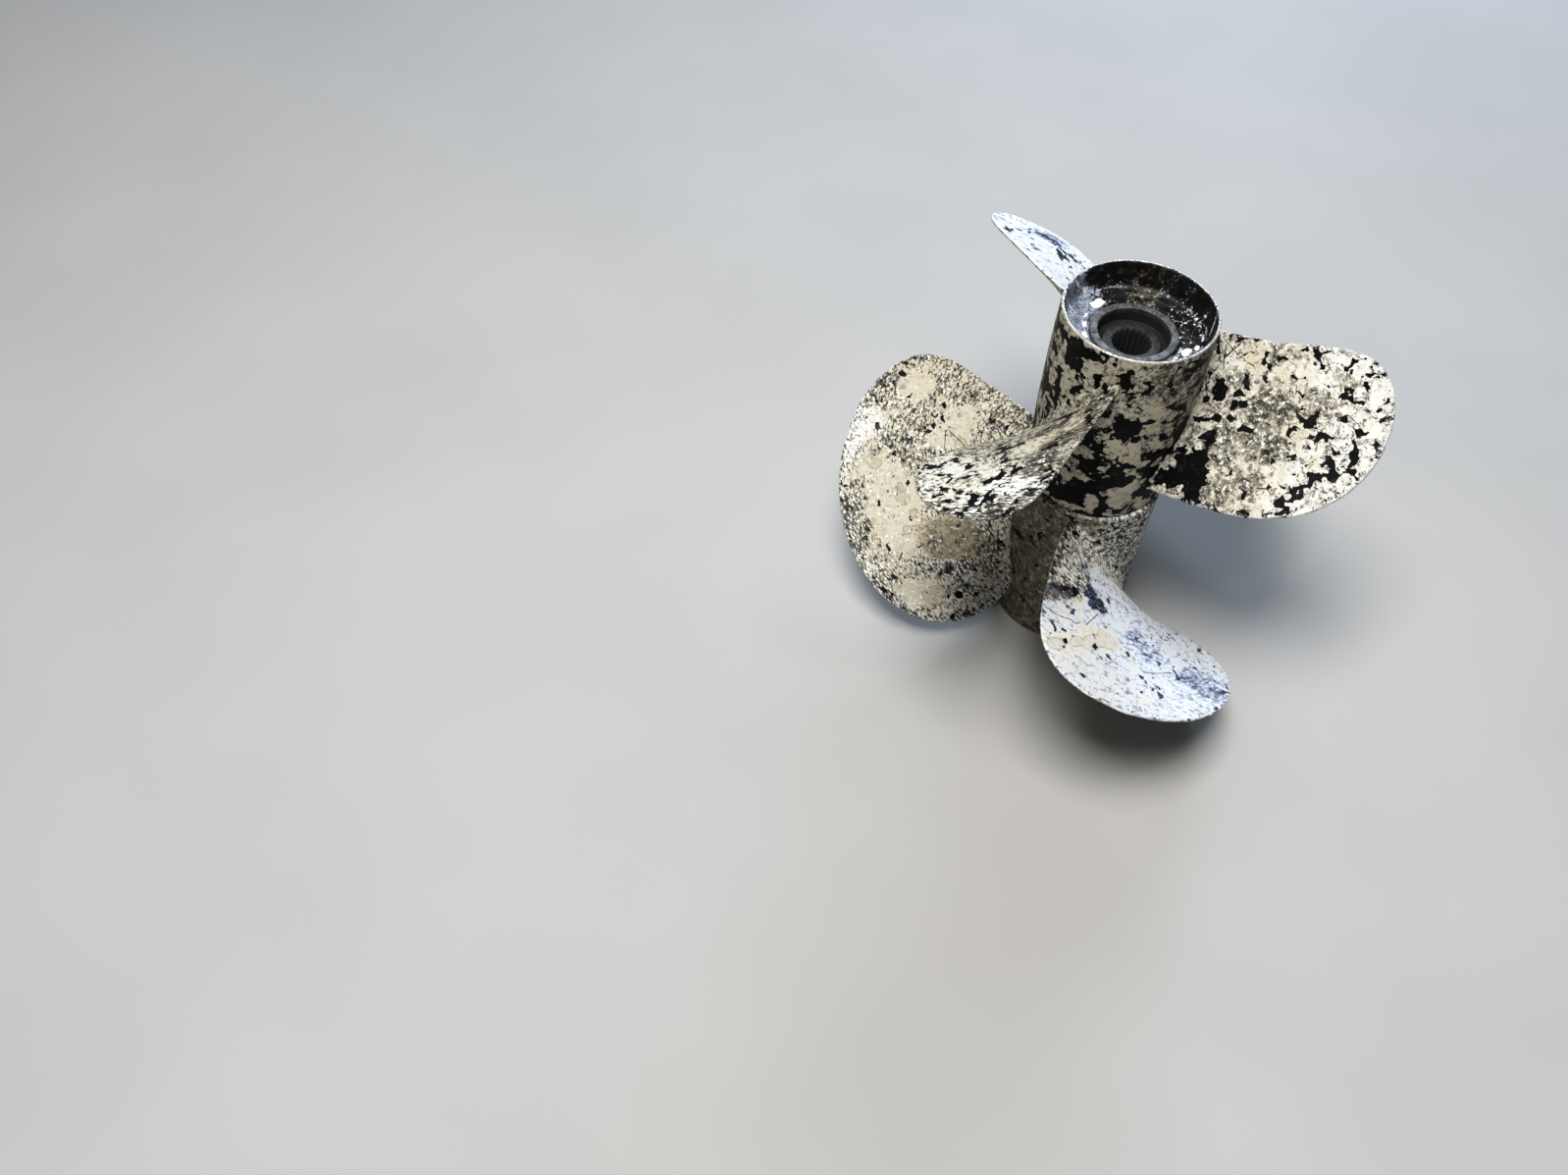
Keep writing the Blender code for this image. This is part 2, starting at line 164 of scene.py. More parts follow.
# -------------------------------------------------------------------- blades
def blade_lines(blade, x):
    """At share x (an array): radius, half-lengths of the upper and lower edges,
    skew, helix slope, height of the generator."""
    inset = blade["edge_thickness"] / 2
    root, tip = blade["root"], blade["tip_radius"] - inset
    radius = root + (tip - root) * x
    s = np.clip(x, 0.0, 1.0)
    narrowing = np.sqrt(np.clip(1.0 - s ** blade["tip"], 0.0, None))
    up = blade["upper"][0] + blade["upper"][1] * s + blade["upper"][2] * s * s
    down = blade["lower"][0] + blade["lower"][1] * s + blade["lower"][2] * s * s
    up = up - blade["relief"] * np.exp(-s / 0.12) - inset
    down = down - inset
    skew = blade["skew"][0] * s + blade["skew"][1] * s * s
    pitch = blade["pitch"] * (1 + blade["pitch_rise"] * (s - 0.7))
    slope = np.arctan2(pitch, 2 * math.pi * radius)
    out = radius - root
    height = blade["rake"][0] + blade["rake"][1] * out + blade["rake"][2] * out * out
    centre = narrowing * (up - down) / 2 + skew
    half = narrowing * (up + down) / 2
    return radius, centre, half, slope, height


def blade_place(blade, x, u):
    radius, centre, half, slope, height = blade_lines(blade, x)
    along = centre + u * half
    angle = blade["angle"] + blade["hand"] * along * np.cos(slope) / radius
    return np.stack(
        [radius * np.cos(angle), radius * np.sin(angle), height + along * np.sin(slope)], -1
    )


def hub_radius(hub, z):
    top, middle, foot, high, low = hub
    s = np.clip((high - z) / (high - low), 0, 1)
    return top * (1 - s) * (1 - 2 * s) + middle * 4 * s * (1 - s) + foot * s * (2 * s - 1)


def blade_half(blade, x, u, place):
    """Half the thickness: a lens section, thinning outwards, with a root fillet."""
    s = np.clip(x, 0.0, 1.0)
    edge = blade["edge_thickness"]
    middle = edge + (blade["root_thickness"] - edge) * (1 - s) ** 1.4
    half = (edge + (middle - edge) * (1 - np.abs(u) ** 2.2)) / 2
    fillet = 0.0018 + (FILLET - 0.0018) * (1 - np.abs(u) ** 10)
    radius = np.hypot(place[..., 0], place[..., 1])
    away = np.clip(radius - hub_radius(blade["hub"], place[..., 2]), 0.0, None)
    into = np.clip(fillet - away, 0.0, None)
    return half + fillet - np.sqrt(np.clip(fillet ** 2 - into ** 2, 0.0, None))


def blade_mesh(blade, turn, stations, columns, rounds, seed):
    """Points and faces of one closed blade with a round rim."""
    span = blade["tip_radius"] - blade["root"]
    close = [-0.0040, -0.0030, -0.0020, -0.0012, -0.0006, -0.0002, 0.0002, 0.0007,
             0.0013, 0.0020, 0.0029, 0.0040, 0.0054]
    start = math.asin(0.0072 / span)
    shares = [c / span for c in close]
    shares += list(np.sin(np.linspace(start, math.pi / 2, stations)))
    shares[-1] = 0.99985
    x = np.array(shares)
    rows = len(x)
    even = np.linspace(-1, 1, columns + 1)
    across = 0.72 * even + 0.28 * np.sin(even * math.pi / 2)
    X, U = np.meshgrid(x, across, indexing="ij")
    middle = blade_place(blade, X, U)
    tiny = 1e-4
    base = np.clip(X, None, 0.993)
    dx = blade_place(blade, base + tiny, U) - blade_place(blade, base - tiny, U)
    du = (blade_place(blade, base, np.clip(U + 1e-3, None, 1))
          - blade_place(blade, base, np.clip(U - 1e-3, -1, None)))
    normal = np.cross(dx, du)
    normal /= np.linalg.norm(normal, axis=-1, keepdims=True)
    normal *= np.sign(normal[..., 2:3])
    half = blade_half(blade, X, U, middle)

    # The rim's path runs up one edge, over the tip and down the other.
    path = [(i, columns) for i in range(rows)]
    path += [(rows - 1, j) for j in range(columns - 1, 0, -1)]
    path += [(i, 0) for i in range(rows - 1, -1, -1)]
    pi = np.array([p[0] for p in path])
    pj = np.array([p[1] for p in path])
    line = middle[pi, pj]
    ahead = line[np.clip(np.arange(len(path)) + 1, 0, len(path) - 1)]
    behind = line[np.clip(np.arange(len(path)) - 1, 0, None)]
    outward = np.cross(ahead - behind, normal[pi, pj])
    outward /= np.linalg.norm(outward, axis=-1, keepdims=True)
    centre = middle[np.clip(pi, None, rows * 2 // 3), columns // 2]
    outward *= np.sign(np.sum(outward * (line - centre), -1, keepdims=True))

    # Knocks and filed dents along the free edge.
    travelled = np.concatenate([[0], np.cumsum(np.linalg.norm(line[1:] - line[:-1], axis=1))])
    random = np.random.default_rng(seed)
    dent = np.zeros(len(path))
    for _ in range(16):
        where = random.uniform(0.08, 0.92) * travelled[-1]
        wide, deep = random.uniform(0.0012, 0.005), random.uniform(0.0002, 0.0010)
        dent += deep * np.exp(-(((travelled - where) / wide) ** 2))
    dent *= step(0.006, 0.02, np.hypot(line[:, 0], line[:, 1]) - blade["root"])

    uneven = waves(middle + turn, 0.035, seed + 50)[..., None] * 0.00022
    uneven *= step(0.0, 0.012, np.hypot(middle[..., 0], middle[..., 1]) - 0.052)[..., None]
    upper = middle + normal * (half[..., None] + uneven)
    lower = middle - normal * (half[..., None] - uneven)

    count = rows * (columns + 1)
    points = [upper.reshape(-1, 3), lower.reshape(-1, 3)]
    rims = []
    h = half[pi, pj]
    for k in range(1, rounds):
        a = math.pi * k / rounds
        reach = (math.sin(a) * h - dent)[:, None]
        rims.append(
            line + outward * reach + normal[pi, pj] * (math.cos(a) * h[:, None] + uneven[pi, pj])
        )
    points += rims
    points = np.concatenate(points)
    c, s = math.cos(turn), math.sin(turn)
    points = np.stack(
        [c * points[:, 0] - s * points[:, 1], s * points[:, 0] + c * points[:, 1], points[:, 2]], 1
    )

    def up_(i, j):
        return i * (columns + 1) + j

    def low_(i, j):
        return count + i * (columns + 1) + j

    faces = []
    for i in range(rows - 1):
        for j in range(columns):
            faces.append((up_(i, j), up_(i, j + 1), up_(i + 1, j + 1), up_(i + 1, j)))
            faces.append((low_(i, j), low_(i + 1, j), low_(i + 1, j + 1), low_(i, j + 1)))
    n = len(path)
    bands = [[up_(i, j) for i, j in path]]
    for k in range(rounds - 1):
        bands.append([2 * count + k * n + m for m in range(n)])
    bands.append([low_(i, j) for i, j in path])
    for a, b in zip(bands[:-1], bands[1:]):
        for m in range(n - 1):
            faces.append((a[m], b[m], b[m + 1], a[m + 1]))
    inner = [up_(0, j) for j in range(columns + 1)]
    inner += [b[0] for b in bands[1:-1]]
    inner += [low_(0, j) for j in range(columns, -1, -1)]
    inner += [b[-1] for b in bands[-2:0:-1]]
    faces.append(tuple(inner[::-1]))
    return points, faces


def turned_mesh(profile, steps, wobble=None):
    """Points and faces of a ring turned from a closed (radius, height) profile."""
    profile = np.array(profile)
    count = len(profile)
    t = np.arange(steps) / steps * 2 * math.pi
    points = np.stack(
        [
            np.outer(np.cos(t), profile[:, 0]),
            np.outer(np.sin(t), profile[:, 0]),
            np.tile(profile[:, 1], (steps, 1)),
        ],
        -1,
    ).reshape(-1, 3)
    if wobble is not None:
        points = wobble(points)
    faces = []
    for i in range(steps):
        n = (i + 1) % steps
        for j in range(count):
            m = (j + 1) % count
            faces.append((i * count + j, i * count + m, n * count + m, n * count + j))
    return points, faces


def rounded(corners, reach, parts=4):
    """A profile whose corners are replaced by curves; corner k is cut back by reach[k]."""
    out = []
    n = len(corners)
    for k in range(n):
        p = np.array(corners[k])
        before, after = np.array(corners[k - 1]), np.array(corners[(k + 1) % n])
        cut = reach[k] if hasattr(reach, "__len__") else reach
        cut = min(cut, np.linalg.norm(before - p) * 0.45, np.linalg.norm(after - p) * 0.45)
        if cut < 1e-6:
            out.append(p)
            continue
        a = p + (before - p) / np.linalg.norm(before - p) * cut
        b = p + (after - p) / np.linalg.norm(after - p) * cut
        for q in range(parts + 1):
            t = q / parts
            out.append((1 - t) ** 2 * a + 2 * t * (1 - t) * p + t * t * b)
    return out


def refined(profile, longest):
    """The same closed profile with no side longer than the given length."""
    out = []
    n = len(profile)
    for k in range(n):
        a, b = np.array(profile[k]), np.array(profile[(k + 1) % n])
        parts = max(1, int(math.ceil(np.linalg.norm(b - a) / longest)))
        for q in range(parts):
            out.append(a + (b - a) * q / parts)
    return out


def outward_facing(mesh):
    bm = bmesh.new()
    bm.from_mesh(mesh)
    bmesh.ops.recalc_face_normals(bm, faces=bm.faces)
    if bm.calc_volume(signed=True) < 0:
        bmesh.ops.reverse_faces(bm, faces=bm.faces)
    bm.to_mesh(mesh)
    bm.free()


def union(body, others, operation="UNION"):
    for k, other in enumerate(others):
        outward_facing(other.data)
        modifier = body.modifiers.new(f"join_{k}", "BOOLEAN")
        modifier.operation = operation
        modifier.solver = "MANIFOLD"
        modifier.object = other
    bpy.context.view_layer.update()
    graph = bpy.context.evaluated_depsgraph_get()
    mesh = bpy.data.meshes.new_from_object(body.evaluated_get(graph))
    body.modifiers.clear()
    old = body.data
    body.data = mesh
    bpy.data.meshes.remove(old)
    for other in others:
        data = other.data
        bpy.data.objects.remove(other, do_unlink=True)
        bpy.data.meshes.remove(data)


# ---------------------------------------------------------------------- hubs
FINE = 0.0021
STEPS = 220


def bow(hub, parts):
    top, middle, foot, high, low = hub
    return [
        (float(hub_radius(hub, high + (low - high) * i / parts)), high + (low - high) * i / parts)
        for i in range(1, parts)
    ]


def profile_of(outer, inner, outer_reach, inner_reach):
    """The whole section, finer where it shows: outside and in the open recess."""
    profile = rounded(outer + inner, outer_reach + inner_reach)
    made = []
    for k, point in enumerate(profile):
        after = profile[(k + 1) % len(profile)]
        middle = (np.array(point) + np.array(after)) / 2
        hidden = middle[0] < 0.0450 and middle[1] < STACK_HEIGHT - 0.0230
        longest = 0.009 if hidden else FINE
        parts = max(1, int(math.ceil(np.linalg.norm(np.array(after) - point) / longest)))
        made += [np.array(point) + (np.array(after) - point) * q / parts for q in range(parts)]
    return made


def rear_hub_profile():
    web = STACK_HEIGHT - 0.0190
    low = SEAM_HEIGHT + GAP
    outer = bow(REAR_HUB, 48)
    corners = [(0.0494, STACK_HEIGHT)] + outer + [(0.0472, low)]
    reach = [0.0009] + [0.0] * len(outer) + [0.0009]
    inner = [
        (0.0472 - 0.0058, low), (0.0502 - 0.0068, 0.203), (0.0494 - 0.0058, web - 0.0110),
        (0.0392, web - 0.0070), (0.0375, web - 0.0070), (0.0345, web - 0.0100),
        (0.0330, 0.1580), (0.0252, 0.1580), (0.0252, 0.1657), (0.0284, 0.1657),
        (0.0284, web - 0.0022), (0.0298, web - 0.0018), (0.0304, web),
        (0.0362, web + 0.0003), (0.0368, web + 0.0008), (0.0414, web + 0.0011),
        (0.0444, web + 0.0030), (0.0462, STACK_HEIGHT - 0.0035), (0.0470, STACK_HEIGHT),
    ]
    inner_reach = [0.0008, 0.02, 0.004, 0.002, 0.002, 0.002, 0.001, 0.001, 0.0004, 0.0004,
                   0.0004, 0.0005, 0.0006, 0.0006, 0.0006, 0.0016, 0.0022, 0.0015, 0.0008]
    return profile_of(corners, inner, reach, inner_reach)


def front_hub_profile():
    outer = bow(FRONT_HUB, 48)
    corners = [(0.0500, SEAM_HEIGHT)] + outer + [(0.0508, 0.0)]
    reach = [0.0010] + [0.0] * len(outer) + [0.0012]
    inner = [
        (0.0457, 0.0), (0.0447, 0.0120), (0.0345, 0.0120), (0.0333, 0.0136),
        (0.0333, 0.1183), (0.0310, 0.1183), (0.0310, 0.1250), (0.0370, 0.1250),
        (0.0380, 0.0220), (0.0400, 0.0200), (0.0408, 0.0200), (0.0426, 0.0220),
        (0.0440, SEAM_HEIGHT),
    ]
    inner_reach = [0.0010, 0.0035, 0.0008, 0.0006, 0.0004, 0.0004, 0.0010, 0.0012,
                   0.002, 0.001, 0.001, 0.002, 0.0008]
    return profile_of(corners, inner, reach, inner_reach)


def box_mesh(low, high, turn):
    points = []
    for z in (low[2], high[2]):
        for x, y in ((low[0], low[1]), (high[0], low[1]), (high[0], high[1]), (low[0], high[1])):
            points.append((x * math.cos(turn) - y * math.sin(turn),
                           x * math.sin(turn) + y * math.cos(turn), z))
    faces = [(0, 3, 2, 1), (4, 5, 6, 7), (0, 1, 5, 4), (1, 2, 6, 5), (2, 3, 7, 6), (3, 0, 4, 7)]
    return points, faces


def casting(name, blade, profile, ribs, seed):
    def wobble(points):
        rough = waves(points, 0.05, seed)[:, None] * 0.00022
        rough += waves(points, 0.011, seed + 1)[:, None] * 0.00007
        radial = points.copy()
        radial[:, 2] = 0
        radial /= np.linalg.norm(radial, axis=1, keepdims=True)
        return points + radial * rough

    points, faces = turned_mesh(profile, STEPS, wobble)
    body = link(name, new_mesh(name, points, faces))
    outward_facing(body.data)
    others = []
    inner, outer, low, high, angle = ribs
    for k in range(BLADES):
        mesh = new_mesh("rib", *box_mesh((inner, -0.003, low), (outer, 0.003, high),
                                        angle + 2 * math.pi * k / BLADES))
        others.append(link(f"rib_{k}", mesh))
    for k in range(BLADES):
        points, faces = blade_mesh(
            blade, 2 * math.pi * k / BLADES, 84, 64,
            7, seed + 10 + k,
        )
        others.append(link(f"blade_{k}", new_mesh(f"blade_{k}", points, faces)))
    union(body, others)
    smooth(body)
    return body


rear = casting("rear_propeller", REAR_BLADE, rear_hub_profile(),
               (0.0315, 0.0444, 0.170, 0.2625, math.radians(30)), 11)
front = casting("front_propeller", FRONT_BLADE, front_hub_profile(),
                (0.0350, 0.0456, 0.017, 0.118, math.radians(90)), 31)
for made in (rear, front):
    print(made.name, sum(len(f.vertices) - 2 for f in made.data.polygons), "triangles")

# -------------------------------------------------------------------- bushes


def ring(name, corners, reach, steps, fine):
    points, faces = turned_mesh(refined(rounded(corners, reach), fine), steps)
    obj = link(name, new_mesh(name, points, faces))
    outward_facing(obj.data)
    smooth(obj, 50)
    return obj


def sleeve(name, radius, bore, depth, teeth, low, high):
    """A splined tube with chamfered ends."""
    outline = []
    for i in range(teeth):
        for share, r in ((-0.32, bore), (-0.16, bore + 0.00012), (0.0, bore + 0.00015),
                         (0.16, bore + 0.00012), (0.32, bore), (0.38, bore - depth * 0.85),
                         (0.42, bore - depth), (0.5, bore - depth), (0.58, bore - depth),
                         (0.62, bore - depth * 0.85)):
            outline.append((2 * math.pi * (i + share) / teeth, r))
    angles = np.array([a for a, _ in outline])
    radii = np.array([r for _, r in outline])
    n = len(angles)
    rows = []
    for r, z in ((radius - 0.0008, high), (radius - 0.0002, high - 0.0003),
                 (radius, high - 0.0009), (radius, (low + high) / 2),
                 (radius, low + 0.0009), (radius - 0.0008, low)):
        rows.append(np.stack([r * np.cos(angles), r * np.sin(angles), np.full(n, z)], 1))
    for grow, z in ((0.0008, low), (0.0003, low + 0.0006), (0.0, low + 0.0014),
                    (0.0, (low + high) / 2), (0.0, high - 0.0022), (0.0006, high - 0.0012),
                    (0.0016, high)):
        rr = np.maximum(radii + grow * 0.4, bore - depth + grow)
        rows.append(np.stack([rr * np.cos(angles), rr * np.sin(angles), np.full(n, z)], 1))
    points = np.concatenate(rows)
    faces = []
    count = len(rows)
    for k in range(count):
        m = (k + 1) % count
        for i in range(n):
            j = (i + 1) % n
            faces.append((k * n + i, m * n + i, m * n + j, k * n + j))
    obj = link(name, new_mesh(name, points, faces))
    outward_facing(obj.data)
    smooth(obj, 40)
    return obj


SHELL_TOP = STACK_HEIGHT - 0.0190 + 0.0009
rear_shell = ring(
    "rear_bush_ring",
    [(0.0281, SHELL_TOP), (0.0281, 0.1660), (0.0232, 0.1660), (0.0232, SHELL_TOP)],
    [0.0007, 0.0006, 0.0006, 0.0009], 160, 0.004,
)
# The shell is rolled from strip: its seam shows as a slit across the top.
slit = link("slit", new_mesh("slit", *box_mesh((0.0220, -0.00035, SHELL_TOP - 0.0060),
                                                (0.0290, 0.00035, SHELL_TOP + 0.0020),
                                                math.radians(182))))
union(rear_shell, [slit], "DIFFERENCE")
smooth(rear_shell, 50)
rear_rubber = ring(
    "rear_bush_rubber",
    [(0.0229, 0.2578), (0.0229, 0.1746), (0.0216, 0.1758), (0.0202, 0.1758), (0.0191, 0.1746),
     (0.0191, 0.2580), (0.0200, 0.2570), (0.0217, 0.2567)],
    0.0005, 144, 0.012,
)
rear_sleeve = sleeve("rear_splined_tube", 0.0188, 0.0123, 0.0011, 20, 0.1700, 0.2590)
front_shell = ring(
    "front_bush_ring",
    [(0.0330, 0.1180), (0.0330, 0.0120), (0.0290, 0.0120), (0.0290, 0.1180)],
    [0.0006, 0.0007, 0.0008, 0.0006], 160, 0.012,
)
front_rubber = ring(
    "front_bush_rubber",
    [(0.0287, 0.1120), (0.0287, 0.0180), (0.0272, 0.0192), (0.0252, 0.0192), (0.0238, 0.0180),
     (0.0238, 0.1120), (0.0252, 0.1108), (0.0272, 0.1108)],
    0.0006, 144, 0.012,
)
front_sleeve = sleeve("front_splined_tube", 0.0235, 0.0192, 0.0013, 26, 0.0150, 0.1210)


# -------------------------------------------------- where each surface point is
def locate(mesh, blade):
    """For each vertex: which blade it is on (-1 on the hub), its share out from the
    hub, its place across (-1 to 1), its length along the helix, and its side
    (1 for the face that looks up)."""
    p = coords(mesh)
    radius = np.hypot(p[:, 0], p[:, 1])
    angle = np.arctan2(p[:, 1], p[:, 0])
    span = blade["tip_radius"] - blade["edge_thickness"] / 2 - blade["root"]
    x = (radius - blade["root"]) / span
    _, centre, half, slope, height = blade_lines(blade, x)
    best = np.full(len(p), 1e9)
    number = np.full(len(p), -1)
    along = np.zeros(len(p))
    side = np.ones(len(p))
    for k in range(BLADES):
        off = angle - blade["angle"] - 2 * math.pi * k / BLADES
        # The winding that brings the point nearest to this blade's sheet.
        for lap in (-2, -1, 0, 1, 2):
            reach = blade["hand"] * (off + 2 * math.pi * lap) * radius / np.cos(slope)
            away = (p[:, 2] - height - reach * np.sin(slope)) * np.cos(slope)
            # Slide along the sheet to the foot of the normal.
            foot = reach + (p[:, 2] - height - reach * np.sin(slope)) * np.sin(slope)
            over = np.clip(np.abs(foot - centre) - half - 0.004, 0, None)
            score = np.abs(away) + over * 3
            pick = score < best
            best = np.where(pick, score, best)
            number = np.where(pick, k, number)
            along = np.where(pick, foot, along)
            side = np.where(pick, np.sign(away), side)
    across = (along - centre) / np.maximum(half, 1e-4)
    hub = hub_radius(blade["hub"], p[:, 2])
    on_hub = radius < hub + 0.0008
    return dict(p=p, radius=radius, angle=angle, x=x, u=across, along=along, half=half,
                side=side, number=number, on_hub=on_hub, hub=hub, span=span)


def edge_distance(place):
    """Distance to the blade's outline, in metres, roughly."""
    x, half = np.clip(place["x"], 0, 1), place["half"]
    sideways = (1 - np.abs(np.clip(place["u"], -1, 1))) * half
    tipwards = (1 - x) * place["span"]
    near = 1 / (1 / np.maximum(sideways, 1e-5) ** 2 + 1 / np.maximum(tipwards, 1e-5) ** 2) ** 0.5
    return np.where(place["on_hub"], 1.0, near)


# ----------------------------------------------------------------- materials
class Nodes:
    """Short words for building a shader."""

    def __init__(self, name):
        self.material = bpy.data.materials.new(name)
        self.material.use_nodes = True
        self.tree = self.material.node_tree
        self.tree.nodes.clear()
        self.out = self.tree.nodes.new("ShaderNodeOutputMaterial")
        self.shader = self.tree.nodes.new("ShaderNodeBsdfPrincipled")
        self.tree.links.new(self.shader.outputs[0], self.out.inputs[0])

    def put(self, socket, value):
        if isinstance(value, bpy.types.NodeSocket):
            self.tree.links.new(value, socket)
        elif value is not None:
            if hasattr(socket.default_value, "__len__") and not hasattr(value, "__len__"):
                value = [value] * len(socket.default_value)
            if hasattr(value, "__len__") and len(value) == 3 and len(socket.default_value) == 4:
                value = (*value, 1.0)
            socket.default_value = value

    def set(self, name, value):
        self.put(self.shader.inputs[name], value)

    def place(self):
        node = self.tree.nodes.new("ShaderNodeTexCoord")
        return self.scale(node.outputs["Object"], 1000.0)

    def attribute(self, name, vector=False):
        node = self.tree.nodes.new("ShaderNodeAttribute")
        node.attribute_name = name
        return node.outputs["Vector" if vector else "Fac"]

    def math(self, operation, a, b=None, c=None, clamp=False):
        node = self.tree.nodes.new("ShaderNodeMath")
        node.operation = operation
        node.use_clamp = clamp
        for i, value in enumerate((a, b, c)):
            if value is not None:
                self.put(node.inputs[i], value)
        return node.outputs[0]

    def add(self, *values):
        total = values[0]
        for value in values[1:]:
            total = self.math("ADD", total, value)
        return total

    def sub(self, a, b):
        return self.math("SUBTRACT", a, b)

    def mul(self, *values):
        total = values[0]
        for value in values[1:]:
            total = self.math("MULTIPLY", total, value)
        return total

    def vector(self, operation, a, b=None, out=0):
        node = self.tree.nodes.new("ShaderNodeVectorMath")
        node.operation = operation
        self.put(node.inputs[0], a)
        if b is not None:
            self.put(node.inputs[1], b)
        return node.outputs[out]

    def scale(self, a, factor):
        node = self.tree.nodes.new("ShaderNodeVectorMath")
        node.operation = "SCALE"
        self.put(node.inputs[0], a)
        node.inputs["Scale"].default_value = factor
        return node.outputs[0]

    def combine(self, x, y, z):
        node = self.tree.nodes.new("ShaderNodeCombineXYZ")
        for i, value in enumerate((x, y, z)):
            self.put(node.inputs[i], value)
        return node.outputs[0]

    def noise(self, where, size, detail=3.0, roughness=0.55, distortion=0.0, colour=False):
        node = self.tree.nodes.new("ShaderNodeTexNoise")
        self.put(node.inputs["Vector"], where)
        node.inputs["Scale"].default_value = 1.0 / size
        node.inputs["Detail"].default_value = detail
        node.inputs["Roughness"].default_value = roughness
        node.inputs["Distortion"].default_value = distortion
        return node.outputs[1 if colour else 0]

    def cells(self, where, size, feature="F1", random=1.0, out="Distance", smoothness=0.2):
        node = self.tree.nodes.new("ShaderNodeTexVoronoi")
        node.feature = feature
        self.put(node.inputs["Vector"], where)
        node.inputs["Scale"].default_value = 1.0 / size
        node.inputs["Randomness"].default_value = random
        if feature == "SMOOTH_F1":
            node.inputs["Smoothness"].default_value = smoothness
        return node.outputs[out]

    def ramp(self, value, low, high, smooth=True, bottom=0.0, top=1.0):
        node = self.tree.nodes.new("ShaderNodeMapRange")
        node.interpolation_type = "SMOOTHSTEP" if smooth else "LINEAR"
        node.clamp = True
        self.put(node.inputs["Value"], value)
        for name, v in (("From Min", low), ("From Max", high), ("To Min", bottom), ("To Max", top)):
            self.put(node.inputs[name], v)
        return node.outputs[0]

    def mix(self, share, a, b, blend="MIX"):
        node = self.tree.nodes.new("ShaderNodeMix")
        node.data_type = "RGBA"
        node.blend_type = blend
        node.clamp_factor = True
        self.put(node.inputs[0], share)
        self.put(node.inputs[6], a)
        self.put(node.inputs[7], b)
        return node.outputs[2]

    def blend(self, share, a, b):
        node = self.tree.nodes.new("ShaderNodeMix")
        node.data_type = "FLOAT"
        self.put(node.inputs[0], share)
        self.put(node.inputs[2], a)
        self.put(node.inputs[3], b)
        return node.outputs[0]

    def bump(self, height, distance, strength=1.0, normal=None):
        node = self.tree.nodes.new("ShaderNodeBump")
        self.put(node.inputs["Height"], height)
        node.inputs["Distance"].default_value = distance
        node.inputs["Strength"].default_value = strength
        if normal is not None:
            self.put(node.inputs["Normal"], normal)
        return node.outputs[0]


BLACK = (0.0018, 0.0018, 0.0020)
CREAM = (0.63, 0.60, 0.485)
CHALK = (0.74, 0.735, 0.70)
TAN = (0.55, 0.475, 0.33)
OLIVE = (0.115, 0.103, 0.068)
PAINTED_COOL_BLUE = (0.10, 0.135, 0.23)
BARE = (0.62, 0.62, 0.61)


